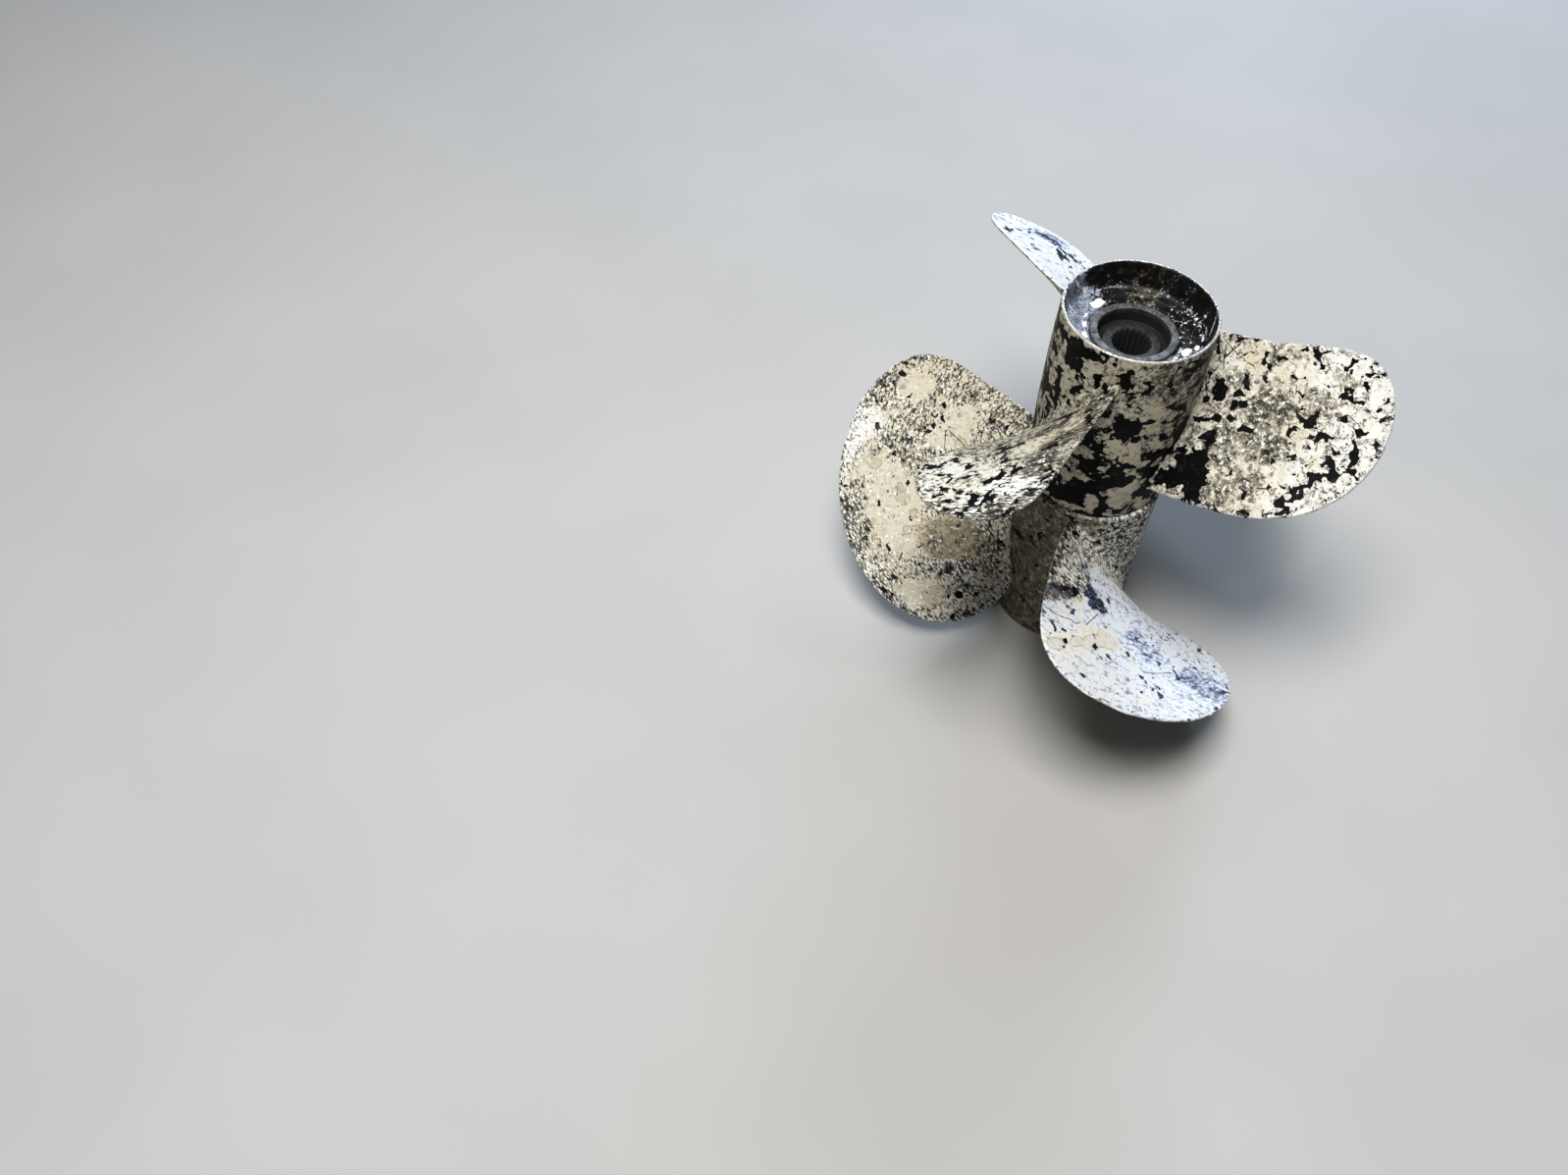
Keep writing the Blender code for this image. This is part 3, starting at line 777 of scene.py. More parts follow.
def weathered(name, seed):
    """Flaking off-white antifouling over black, with painted cool light and painted shade, steered by the mesh's
    attributes:
    hole    how far inside a flaked-off patch, in mm, below 0 outside
    lost    share of the paint lost at random, in lobed islands
    crack   how many thin black gaps run between the flakes
    worn    how far the paint is rubbed to a mottled grey
    speck   how many small dark dashes and pits
    tone    from tan (-1) through cream (0) to chalk (1)
    dull    how far the paint darkens to olive: dirt, and painted shade where light falls less, as on the lower hub's left side
    slate   painted light: the blue of the cool window light on the paint, and its painted reflection on the black
    glint   how many small pale bits are left
    ring    how far inside an old barnacle's foot, in mm
    rim     bare edge
    scratch distances to scratches, in mm, and where they apply
    flow    surface coordinates, drawn out along the water's path"""
    n = Nodes(name)
    here = n.vector("ADD", n.place(), (seed * 37.0, seed * 11.0, seed * 5.0))
    flow = n.attribute("flow", vector=True)
    a = {k: n.attribute(k) for k in ("hole", "lost", "crack", "worn", "speck", "tone", "dull",
                                     "slate", "ring", "rim", "glint")}

    sway = n.noise(here, 6.5, 2.0, 0.55, colour=True)
    bent = n.vector("ADD", here, n.scale(n.vector("SUBTRACT", sway, (0.5, 0.5, 0.5)), 5.0))
    blotch = n.sub(n.noise(here, 7.0, 3.0, 0.55), 0.5)
    grain = n.sub(n.noise(here, 1.6, 3.0, 0.65), 0.5)
    mottle = n.sub(n.noise(here, 3.9, 3.0, 0.64), 0.5)
    lobes = n.mul(n.sub(n.cells(bent, 4.6), 0.52), 4.6)

    # Black where the paint has come off, in mm inside the edge
    ragged = n.add(n.mul(lobes, n.ramp(a["crack"], 0.15, 0.5, bottom=0.35, top=1.35)),
                   n.mul(blotch, 5.5), n.mul(grain, 1.3))
    inside = n.add(a["hole"], ragged)
    drift = n.sub(n.noise(bent, 11.0, 2.0, 0.5), 0.5)
    random_loss = n.add(n.mul(n.add(drift, n.mul(a["lost"], 0.40), -0.27), 22.0), n.mul(ragged, 1.1))
    inside = n.math("MAXIMUM", inside, random_loss)
    # Rounded flakes with black left between them
    flake = n.mul(n.cells(bent, 7.5), 7.5)
    spacing = n.add(n.mul(a["crack"], 2.7), n.mul(drift, 9.0), -7.6)
    gap = n.add(flake, spacing, n.mul(grain, 1.4), n.mul(mottle, 1.4))
    gap = n.math("MINIMUM", gap, n.mul(n.sub(a["crack"], 0.02), 9.0))
    inside = n.math("MAXIMUM", inside, gap)
    off = n.ramp(inside, -0.05, 0.12, smooth=False)
    outline = n.ramp(n.math("ABSOLUTE", n.add(inside, n.mul(blotch, 3.5), 1.25)), 0.36, 0.16, smooth=False)
    outline = n.mul(outline, n.ramp(n.add(a["crack"], n.mul(mottle, 5.0)), 0.75, 1.05, smooth=False))

    # Small dark dashes and pits in what paint is left
    dash = n.noise(flow, 3.0, 3.0, 0.60)
    pepper = n.noise(n.vector("ADD", flow, (71.0, 5.0, 13.0)), 1.9, 2.0, 0.60)
    flock = n.add(a["speck"], n.mul(blotch, 1.5))
    dashes = n.ramp(n.sub(dash, n.sub(0.765, n.mul(flock, 0.170))), -0.006, 0.012, smooth=False)
    dashes = n.mul(dashes, n.ramp(flock, 0.05, 0.25, smooth=False))
    peppered = n.ramp(n.sub(pepper, n.sub(0.730, n.mul(flock, 0.200))), -0.008, 0.018, smooth=False)
    peppered = n.mul(peppered, n.ramp(flock, 0.0, 0.15, smooth=False))

    # The rubbed, mottled undercoat, in three steps
    rub = n.add(a["worn"], n.mul(mottle, 2.3), n.mul(blotch, 0.9), n.mul(grain, 1.2),
                n.mul(n.sub(dash, 0.5), 0.8))
    light_cover = n.ramp(rub, 0.36, 0.44, smooth=False)
    grey_cover = n.ramp(rub, 0.58, 0.66, smooth=False)
    dark_cover = n.ramp(rub, 0.92, 1.00, smooth=False)
    bits = n.noise(n.vector("ADD", here, (31.0, 7.0, 55.0)), 2.8, 2.0, 0.60)
    bit_level = n.sub(0.74, n.mul(n.add(a["glint"], n.mul(blotch, 1.3)), 0.20))
    bits = n.ramp(n.sub(bits, bit_level), -0.006, 0.014, smooth=False)
    bits = n.mul(bits, n.ramp(a["glint"], 0.03, 0.20, smooth=False))

    # Old barnacle feet
    feet = n.cells(n.vector("ADD", here, n.scale(sway, 1.5)), 15.0, out="Distance")
    feet_colour = n.cells(n.vector("ADD", here, n.scale(sway, 1.5)), 15.0, out="Color")
    chance = n.vector("DOT_PRODUCT", feet_colour, (1.0, 0.0, 0.0), out=1)
    foot = n.mul(n.sub(n.add(0.10, n.mul(chance, 0.14)), feet), 15.0)
    foot = n.math("MINIMUM", foot, n.mul(n.sub(0.36, chance), 60.0))
    foot = n.add(n.math("MAXIMUM", foot, a["ring"]), n.mul(grain, 0.8), n.mul(blotch, 1.0))
    foot_line = n.ramp(n.math("ABSOLUTE", foot), 0.42, 0.14, smooth=False)
    foot_fill = n.ramp(foot, 0.0, 0.3, smooth=False)

    scratch = n.tree.nodes.new("ShaderNodeSeparateXYZ")
    n.put(scratch.inputs[0], n.attribute("scratch", vector=True))
    wander = n.mul(grain, 1.5)
    cut_a = n.ramp(n.math("ABSOLUTE", n.add(scratch.outputs[0], wander)), 0.48, 0.22, smooth=False)
    cut_b = n.ramp(n.math("ABSOLUTE", n.add(scratch.outputs[1], wander)), 0.48, 0.22, smooth=False)
    cuts = n.mul(n.math("MAXIMUM", cut_a, cut_b), scratch.outputs[2])

    # Colours, from the bottom coat up
    tone = n.add(a["tone"], n.mul(blotch, 1.6), n.mul(mottle, 1.2))
    coat = n.mix(n.ramp(tone, 0.0, 1.0, smooth=False), CREAM, CHALK)
    coat = n.mix(n.ramp(tone, -0.05, -0.75, smooth=False), coat, TAN)
    warm = n.ramp(n.sub(n.noise(here, 19.0, 2.0, 0.5), 0.5), 0.04, 0.18, bottom=0.0, top=0.38)
    coat = n.mix(n.mul(warm, n.ramp(a["tone"], 0.60, 1.05, bottom=1.0, top=0.30)), coat, TAN)
    coat = n.mix(n.mul(foot_fill, n.ramp(a["tone"], 0.3, 0.9, bottom=0.50, top=0.16)), coat,
                 (0.41, 0.355, 0.240))
    coat = n.mix(n.mul(foot_line, 0.66), coat, (0.125, 0.108, 0.080))
    coat = n.mix(n.ramp(n.add(mottle, n.mul(grain, 0.4)), 0.0, 0.16, bottom=0.0, top=0.30), coat,
                 (0.36, 0.33, 0.27))
    wash = n.add(n.noise(n.vector("ADD", here, (13.0, 41.0, 5.0)), 4.6, 4.0, 0.62), n.mul(lobes, 0.02))
    white = n.ramp(a["tone"], 0.60, 1.05)
    coat = n.mix(n.ramp(wash, 0.46, 0.64, bottom=0.02, top=0.46), coat,
                 n.mix(white, (0.40, 0.375, 0.305), (0.50, 0.51, 0.53)))
    # Painted light: the blue of the cool window light painted into the paint, deepening to a painted blue
    # reflection on the black where it is strongest
    blue = n.ramp(n.add(a["slate"], n.mul(blotch, 0.7), n.mul(mottle, 0.5)), 0.04, 0.22, smooth=False)
    blue = n.mul(blue, n.ramp(a["slate"], 0.01, 0.12, smooth=False))
    coat = n.mix(n.mul(blue, 0.85), coat, (0.665, 0.715, 0.81))
    streak = n.sub(n.noise(n.vector("ADD", flow, (3.0, 9.0, 2.0)), 2.6, 4.0, 0.66), 0.5)
    slate = n.add(a["slate"], n.mul(streak, 3.2), n.mul(blotch, 1.4), n.mul(mottle, 0.8),
                  n.ramp(a["slate"], 0.01, 0.12, bottom=-1.0, top=0.0, smooth=False))
    coat = n.mix(n.ramp(slate, 0.40, 0.62, bottom=0.0, top=0.80, smooth=False), coat, (0.30, 0.37, 0.52))
    coat = n.mix(n.ramp(slate, 0.72, 0.92, bottom=0.0, top=0.92, smooth=False), coat, PAINTED_COOL_BLUE)
    coat = n.mix(n.ramp(slate, 1.05, 1.20, bottom=0.0, top=1.0, smooth=False), coat, (0.014, 0.018, 0.035))
    rubbed = n.mix(n.mul(light_cover, 0.78), coat, (0.395, 0.370, 0.300))
    rubbed = n.mix(n.mul(grey_cover, 0.88), rubbed, (0.180, 0.165, 0.132))
    rubbed = n.mix(n.mul(dark_cover, 0.95), rubbed, (0.034, 0.032, 0.027))
    top = n.mix(n.ramp(a["worn"], 0.0, 0.10), coat, rubbed)
    # The olive darkening is dirt, and on the lower hub's left side painted shade
    top = n.mix(n.mul(a["dull"], n.ramp(n.add(blotch, mottle), -0.20, 0.15, bottom=0.5, top=1.0)), top, OLIVE)
    top = n.mix(bits, top, n.mix(n.ramp(grain, 0.0, 0.15), (0.80, 0.79, 0.74), (0.50, 0.49, 0.44)))
    # The pits and dashes turn blue where the cool light is painted in
    top = n.mix(n.mul(peppered, 0.90), top, n.mix(blue, (0.052, 0.047, 0.036), (0.085, 0.11, 0.19)))
    top = n.mix(dashes, top, n.mix(n.ramp(mottle, -0.02, 0.10), (0.012, 0.0115, 0.0110),
                                  n.mix(blue, (0.055, 0.050, 0.040), (0.045, 0.055, 0.090))))
    top = n.mix(n.math("MAXIMUM", cuts, n.mul(outline, 0.9)), top, (0.016, 0.015, 0.013))
    black = n.mix(n.ramp(n.add(mottle, n.mul(blotch, 0.6)), 0.06, 0.20, bottom=0.0, top=0.22), BLACK,
                  (0.050, 0.046, 0.038))
    # Painted reflection: the black turns navy where the cool light is painted in
    black = n.mix(n.mul(blue, 0.9), black, n.mix(n.ramp(mottle, -0.08, 0.08), (0.016, 0.021, 0.040), (0.060, 0.075, 0.125)))
    surface = n.mix(off, top, black)

    # Bare metal along the free edges
    bared = n.ramp(n.add(a["rim"], n.mul(grain, 1.6), n.mul(blotch, 0.9)), 0.46, 0.60, smooth=False)
    surface = n.mix(bared, surface, n.mix(n.ramp(grain, -0.12, 0.14), (0.26, 0.26, 0.26), BARE))

    relief = n.add(n.mul(off, -0.9), n.mul(grain, 0.40), n.mul(dashes, -0.3), n.mul(cuts, -0.5))
    rough = n.blend(off, n.ramp(grain, -0.15, 0.15, bottom=0.62, top=0.84), 0.55)
    n.set("Base Color", surface)
    n.set("Roughness", n.blend(bared, rough, 0.42))
    n.set("Metallic", n.mul(bared, 0.35))
    n.set("Normal", n.bump(relief, 0.0005, 0.75))
    n.shader.inputs["Specular IOR Level"].default_value = 0.05
    return n.material


def recess_paint(name, seed):
    """Black inside the hubs. white: how far inside a white flake, in mm; haze: pale
    blue-grey film; sparks: fine white specks; rust: brown stain."""
    n = Nodes(name)
    here = n.vector("ADD", n.place(), (seed * 19.0, 3.0, 8.0))
    grain = n.sub(n.noise(here, 1.6, 4.0, 0.7), 0.5)
    blotch = n.sub(n.noise(here, 6.0, 3.0, 0.6), 0.5)
    white, haze = n.attribute("white"), n.attribute("haze")
    sparks, rust = n.attribute("sparks"), n.attribute("rust")
    dark = n.mix(n.ramp(n.add(grain, blotch), -0.05, 0.28), (0.0036, 0.0036, 0.0038), (0.013, 0.0125, 0.011))
    stain = n.ramp(n.add(rust, n.mul(blotch, 1.8), n.mul(grain, 1.2)), 0.42, 0.95, smooth=False)
    dark = n.mix(n.mul(stain, 0.8), dark, (0.150, 0.122, 0.066))
    film = n.ramp(n.add(haze, n.mul(blotch, 2.0), n.mul(grain, 2.2)), 0.40, 0.85, smooth=False)
    film_colour = n.mix(n.ramp(n.add(grain, n.mul(blotch, 0.5)), -0.12, 0.20), (0.075, 0.090, 0.140), (0.36, 0.41, 0.50))
    dark = n.mix(film, dark, film_colour)
    point = n.noise(n.vector("ADD", here, (9.0, 4.0, 2.0)), 1.9, 3.0, 0.62)
    flock = n.add(sparks, n.mul(blotch, 1.8))
    points = n.ramp(n.sub(point, n.sub(0.76, n.mul(flock, 0.20))), -0.006, 0.02, smooth=False)
    points = n.mul(points, n.ramp(sparks, 0.05, 0.2))
    flakes = n.ramp(n.add(white, n.mul(blotch, 5.0), n.mul(grain, 3.0)), -0.05, 0.15, smooth=False)
    flakes = n.math("MAXIMUM", flakes, points)
    pale = n.mix(n.ramp(grain, 0.02, 0.22), (0.80, 0.80, 0.78), (0.42, 0.43, 0.43))
    surface = n.mix(flakes, dark, pale)
    rim = n.attribute("rim")
    bared = n.ramp(n.add(rim, n.mul(grain, 1.2)), 0.42, 0.58, smooth=False)
    surface = n.mix(bared, surface, n.mix(n.ramp(grain, -0.1, 0.2), (0.80, 0.80, 0.79), (0.50, 0.50, 0.50)))
    n.set("Base Color", surface)
    n.set("Roughness", n.ramp(n.add(grain, blotch), -0.2, 0.2, bottom=0.40, top=0.62))
    n.set("Normal", n.bump(n.add(n.mul(grain, 0.5), n.mul(flakes, 0.5)), 0.0006, 0.8))
    n.shader.inputs["Specular IOR Level"].default_value = 0.16
    return n.material


def dull_metal(name, base, dark, share, roughness, metallic, seed):
    """Worn metal with dark deposits and a few white specks; deep: painted shade deep in the bore, near black."""
    n = Nodes(name)
    here = n.vector("ADD", n.place(), (seed * 23.0, 5.0, 1.0))
    grain = n.noise(here, 1.3, 4.0, 0.7)
    cloud = n.noise(here, 5.0, 3.0, 0.6)
    dirt = n.ramp(n.add(n.mul(grain, 0.5), n.mul(cloud, 0.6)), 0.62 - share * 0.3, 0.78 - share * 0.3)
    surface = n.mix(n.ramp(grain, 0.3, 0.75), base, tuple(c * 0.55 for c in base))
    surface = n.mix(dirt, surface, dark)
    speck = n.ramp(n.noise(here, 0.9, 2.0, 0.6), 0.74, 0.80)
    surface = n.mix(speck, surface, (0.62, 0.63, 0.64))
    # Painted shade: deep in the bore the metal is darkened nearly to black
    surface = n.mix(n.mul(n.attribute("deep"), 0.96), surface, tuple(c * 0.06 for c in dark))
    n.set("Base Color", surface)
    n.set("Roughness", n.blend(n.attribute("deep"),
                               n.ramp(cloud, 0.3, 0.7, bottom=roughness - 0.08, top=roughness + 0.12), 0.95))
    n.set("Metallic", n.blend(dirt, metallic, 0.1))
    n.set("Normal", n.bump(n.add(n.mul(grain, 0.4), n.mul(dirt, 0.4)), 0.0003, 0.7))
    return n.material


def old_rubber(name, seed):
    n = Nodes(name)
    here = n.vector("ADD", n.place(), (seed * 29.0, 2.0, 4.0))
    grain = n.noise(here, 1.2, 4.0, 0.7)
    dust = n.ramp(n.noise(here, 5.0, 3.0, 0.65), 0.50, 0.75)
    n.set("Base Color", n.mix(n.mul(dust, 0.5), (0.0045, 0.0045, 0.005), (0.020, 0.019, 0.017)))
    n.set("Roughness", n.ramp(grain, 0.3, 0.7, bottom=0.66, top=0.88))
    n.set("Normal", n.bump(grain, 0.0004, 0.6))
    n.shader.inputs["Specular IOR Level"].default_value = 0.25
    return n.material


# ------------------------------------------------ wear, painted light and painted shade, set down on each casting
# A mark is (first, second, long, wide, turn): the middle of an ellipse, its half
# length and half width, in millimetres, and its turn in degrees. On a blade, first
# is the distance out from the hub and second the length along the helix; on a hub
# they are the arc round it and the height.
MARKS = {
    "rear 0 up": {
        "hole": [
            (16, 82, 9, 4.5, -90), (29, 88, 4, 2, 40), (28, 80, 4, 1.5, 80), (27, 70, 4, 2, 40),
            (21, 52, 5, 4, -85), (20, 36, 7.5, 7, 55), (25, 26, 8.5, 8.5, 80), (29, 16, 8, 5, -50),
            (44, 17, 10, 1.5, 20), (64, 29, 5, 2, 40), (72, 40, 2, 1.5, -55), (80, 53, 6, 4.5, 50),
            (85, 63, 6.5, 4, 45), (85, 50, 10.5, 2, 50), (82, 66, 7.5, 1, 40), (90, 79, 6.5, 4.5, 55),
            (83, 76, 7.5, 1, 35), (96, 84, 6, 1, 55), (94, 94, 5, 3.5, 60), (102, 97, 3, 2, 60),
            (71, 85, 4, 1.5, 45), (73, 82, 2.5, 1.5, 50), (78, 90, 3, 2, 50), (71, 77, 5.5, 1, 25),
            (77, 76, 2, 1, -70), (76, 105, 6.5, 3, 50), (77, 111, 6, 1.5, 55), (68, 107, 5.5, 1, 45),
            (70, 102, 4, 1, 40), (78, 97, 3, 0.5, 40), (106, 163, 6.5, 1.5, 45),
            (111, 175, 6, 2.5, 60), (116, 166, 2.5, 1, 55), (104, 156, 2.5, 1, 70),
            (108, 141, 2.5, 1, 60), (115, 149, 2, 1, 60), (116, 133, 2, 1, 65), (113, 122, 3, 1.5, 55),
            (109, 120, 1.5, 1, 55), (102, 114, 3, 1, 45), (118, 143, 2, 1, 70), (75, 142, 3, 1.5, 50),
            (49, 99, 2, 1, 55), (42, 108, 1.5, 1, 50), (31, 100, 1.5, 1, 75), (66, 145, 3, 1, 55),
            (20, 118, 6, 1, 30), (30, 124, 6, 1, 30), (90, 164, 6.5, 0.5, 35), (96, 158, 3, 1.5, -75),
            (118, 175, 3.5, 1, 50), (111, 104, 2, 1, 55), (10, 59, 3, 1.5, 85), (61, 107, 2, 1, 45),
            (10, 15, 12.5, 6.5, 40), (14, 27, 8, 7, -65)],
        "keep": [
            (88, 57, 3.5, 2.5, 50), (83, 61, 2, 1, 45), (21, 103, 9, 5, 80),
            (101, 167, 12.5, 3.5, 45), (116, 155, 9.5, 4.5, 60), (70, 132, 12.5, 6, 55),
            (72, 66, 8, 4.5, 45), (114, 135, 7.5, 4, 60), (70, 45, 5.5, 4, 45), (66, 60, 6, 4.5, 50)],
        "tan": [
            (35, 117, 11, 6, 60), (53, 118, 5.5, 2.5, 45), (84, 85, 6.5, 2, 55),
            (70, 94, 8.5, 4, 45), (73, 148, 7.5, 2.5, 45)],
        "grey": [
            (47, 127, 8, 3.5, 80), (29, 53, 12, 10.5, -80), (24, 94, 6.5, 4, 50),
            (49, 92, 19, 9, 45), (54, 70, 18, 6.5, 40), (72, 122, 4.5, 2.5, 55), (93, 147, 7.5, 3, 50),
            (40, 28, 10.5, 7.5, 40), (82, 121, 13.5, 4.5, 45), (55, 48, 8.5, 5.5, 45)],
    },
    "rear 2 up": {
        "hole": [
            (105, 120, 7, 1.5, 80), (106, 107, 4.5, 1.2, -85), (108, 140, 7.5, 2, 65),
            (111, 153, 5, 1.5, 70), (108, 152, 4, 1, 70), (100, 140, 4, 1.2, 70),
            (104, 161, 5, 1, 65), (112, 172, 4.5, 1.5, 40), (96, 158, 4, 1, 70),
            (95, 163, 3.5, 1, 60), (116, 128, 4.5, 2, 75), (114, 113, 4, 2, 70), (93, 86, 5, 1.5, -75),
            (47, 117, 4.5, 1, 55), (50, 119, 3, 1, 55), (20, 109, 6, 2, 55), (80, 128, 2, 0.5, 60),
            (85, 160, 3, 1.5, 30), (89, 64, 5, 4, 75), (84, 89, 5, 1.5, 35), (62, 81, 4.5, 3, -55),
            (52, 79, 6.5, 4, -80), (46, 87, 4.5, 3.5, -65), (14, 78, 11.5, 2, 85)],
        "keep": [
            (85, 82, 10, 5.5, -90), (55, 104, 11.5, 8.5, 65), (41, 102, 12, 6, 45),
            (26, 106, 9.5, 6.5, 40), (57, 139, 11, 3.5, 50), (93, 149, 9.5, 5, 60)],
        "grey": [
            (92, 112, 11.5, 5, 85), (71, 135, 14, 5.5, 45), (103, 78, 6.5, 3.5, 80),
            (116, 165, 5.5, 2, 75), (53, 115, 4.5, 2.5, 45), (30, 88, 8.5, 6.5, 70)],
    },
    "rear 1 up": {
        "hole": [
            (88, 106, 8.5, 3.0, 20), (108, 121, 11, 2.6, 80), (103, 112, 6, 1.8, -70), (94, 88, 6, 2, -35),
            (96, 96, 4, 2, 75), (91, 83, 2.5, 2, 60), (99, 164, 4.5, 2, 30), (103, 140, 3, 1, -25),
            (101, 152, 4, 1, -85), (79, 128, 3.5, 1, 40)],
        # Patches of painted cool light
        "slate": [
            (109, 120, 15.5, 6.5, 85), (107, 108, 8, 5, -60), (112, 168, 8.5, 2.5, 80),
            (94, 143, 5, 3.5, -65)],
    },
    "front 2 up": {
        "hole": [
            (120, -53, 3.5, 2.5, -45), (124, -46, 2.5, 1.5, -45), (70, -46, 2, 1.5, -45),
            (75, -52, 2.5, 1, -45), (72, -56, 2.5, 1, -45), (78, -61, 2.5, 2, 70),
            (83, -68, 1.5, 1, -50), (79, -43, 2.5, 2.5, -55), (60, -46, 1.5, 1, -45),
            (92, -120, 2, 1, -55), (81, -111, 2, 1.5, -65), (95, -130, 3, 1.5, -55),
            (100, -144, 2.5, 1, -55), (91, -148, 1.5, 0.5, -55), (110, -151, 2, 1, -55),
            (84, -177, 2, 1, -60), (92, -195, 3, 1, -60), (92, -208, 3, 1, -65), (98, -210, 3, 1, -55),
            (40, -164, 5, 2, -60), (49, -172, 4, 1.5, -65), (48, -21, 2.5, 1.5, -35),
            (45, -35, 2, 1, -40), (42, -25, 1.5, 1, -35), (114, -144, 2.5, 1, -90)],
        "dark": [
            (19, -9, 9, 6.5, -30), (35, -17, 11, 5, -35), (70, -25, 14, 6, -40),
            (92, -68, 10.5, 6.5, -50), (94, -91, 22, 8, -20), (119, -166, 17, 7, -85),
            (112, -180, 17, 7, -75), (124, -71, 19.5, 7.5, -70), (40, -142, 20, 5.5, -40),
            (92, -200, 13, 7, -45), (40, -182, 16, 4.5, -40), (13, -111, 22.5, 8, -85),
            (56, -136, 12.5, 5.5, -55)],
        "brown": [(42, -122, 31, 13, -48)],
        "bright": [(41, -142, 20.5, 4.2, -40), (33, -150, 8.5, 3.4, -49)],
        "white": [(131, -116, 19, 9, -88), (122, -100, 15, 8, -50)],
        "clean": [
            (88, -136, 33, 17, -75), (68, -47, 10, 7.5, -45), (63, -59, 20, 6, -40),
            (80, -157, 20, 7, -50), (107, -51, 15, 7.5, -45), (111, -126, 15.5, 6, -50),
            (70, -187, 24, 6, -45), (58, -38, 8, 7.5, -45)],
        "ring": [
            (52, -55, 6, 4, -45), (110, -120, 8, 4.5, -55), (82, -124, 8, 3.5, -50),
            (76, -143, 5.5, 2.5, -55), (86, -118, 4.5, 2, -50), (83, -101, 7, 4, -55),
            (72, -127, 5.5, 2.5, -50), (39, -118, 8.5, 3.5, -50), (58, -178, 16, 5, -50),
            (76, -176, 8, 2.5, -50), (100, -176, 6, 2.5, -65), (38, -38, 6, 4, -40)],
    },
    "front 0 up": {
        "hole": [
            (47, -50, 6.5, 2.2, 52), (43, -41, 6, 2.0, 72), (49, -59, 4, 1.2, 63),
            (50, -31, 6.4, 2.8, 4), (54, -23, 8, 1.6, 48), (80.5, -124, 2.8, 2.0, -35),
            (98.7, -100, 2.0, 1.4, -77), (99.8, -106, 2.3, 1.4, -69), (109, -116, 2.8, 1.4, -57),
            (93, -93.5, 4.4, 1.8, -78), (103, -110, 2.2, 1.2, -60), (106, -121, 3.0, 1.4, -50),
            (77, -119, 3.0, 1.2, -35), (84, -119, 2.0, 1.0, -60), (89, -33, 2.7, 1.0, 71), (89, -39, 3.0, 0.9, 86),
            (118, -57, 3.0, 2.0, -40), (59.5, -73.5, 2.6, 1.3, -69), (80, -13, 2.5, 1.0, -16),
            (68.5, -34.5, 1.7, 1.0, 38), (96, -113, 3.6, 1.2, -53), (22, -57, 3.2, 1.0, 74),
            (29.5, -60.5, 2.5, 1.2, -35), (98.5, -24.5, 1.4, 1.0, 15)],
        # Painted blue reflection: black paint made navy where the cool light falls
        "painted_blue_reflection": [
            (32.4, -33.4, 9.5, 4.6, -21), (41.9, -39.7, 8.0, 5.2, 72), (48.4, -51.1, 8.0, 4.8, 52),
            (49.5, -59.5, 4.6, 1.8, 63), (43.7, -45.7, 6.0, 3.4, -5)],
        # Patches of painted cool light
        "slate": [
            (100, -173, 30, 12, -69), (73, -111, 17, 7, -65), (61, -98, 12, 8, 85)],
        "tan": [(99, -36.5, 15, 9, 50), (79, -61, 19, 10.5, 76)],
        "dark": [(60, -18, 16.5, 6, 45)],
        "ring": [
            (72.5, -70, 12.4, 10.3, 49), (79.7, -83, 9.8, 7.3, 89), (85, -56.5, 9.6, 6.6, 40),
            (104, -31, 8, 5, 50), (92, -44, 6, 4, 20), (119, -125, 5.5, 3.5, 75), (54, -112, 4.5, 2, 70),
            (64, -120, 4, 2, 75)],
    },
    "rear hub": {
        "hole": [
            (-129, 274, 10.5, 7.5, 80), (-117, 278, 9, 4.5, 5), (-124, 266, 6.5, 4.5, 65),
            (-150, 226, 12, 6.5, 80), (-134, 235, 14, 3.5, -80), (-118, 250, 4, 2, 35),
            (-123, 245, 3, 1.5, -80), (-127, 229, 3, 2.5, -70), (-107, 261, 5.5, 2, -80),
            (-100, 279, 3, 2, -85), (-92, 274, 5.5, 2, 30), (-62, 264, 2, 1, -30),
            (-81, 231, 10, 8.5, -50), (-86, 223, 4.5, 4.5, -30), (-73, 224, 2.5, 2, -35),
            (-97, 191, 9.5, 7.5, 50), (-79, 189, 9, 6, -70), (-97, 169, 15, 7, 30),
            (-106, 156, 16.5, 7.5, 20), (-87, 175, 9, 7.5, 10), (-89, 202, 6, 3, -80),
            (-54, 164, 6, 4.5, 65), (-54, 218, 6, 2.5, -40), (-54, 232, 4.5, 1.5, -15),
            (-37, 215, 13.5, 8, -90), (-50, 200, 20, 4.5, -20), (-44, 274, 11.5, 3.5, -5),
            (-103, 214, 6.5, 3.5, -85)],
        "keep": [
            (-89, 156, 7.5, 5, -80), (-66, 241, 13.5, 7, -70), (-57, 211, 6.5, 3, -45),
            (-112, 270, 7.5, 4.5, 40), (-127, 244, 11.5, 5, -80), (-125, 233, 5.5, 3.5, 70),
            (-89, 282, 7.5, 3, 15), (-74, 208, 10.5, 6, -70), (-87, 210, 8.5, 4, -80),
            (-69, 165, 12, 9, 45), (-46, 146, 12, 3.5, -30), (-89, 191, 3, 2.5, 20)],
        "tan": [
            (-67, 245, 14, 7.5, -75), (-57, 211, 6.5, 3, -45), (-89, 282, 7.5, 3, 15),
            (-60, 177, 9.5, 6.5, -30), (-74, 208, 10, 5.5, -70)],
        "olive": [(-70, 271, 19, 12, -25)],
    },
}
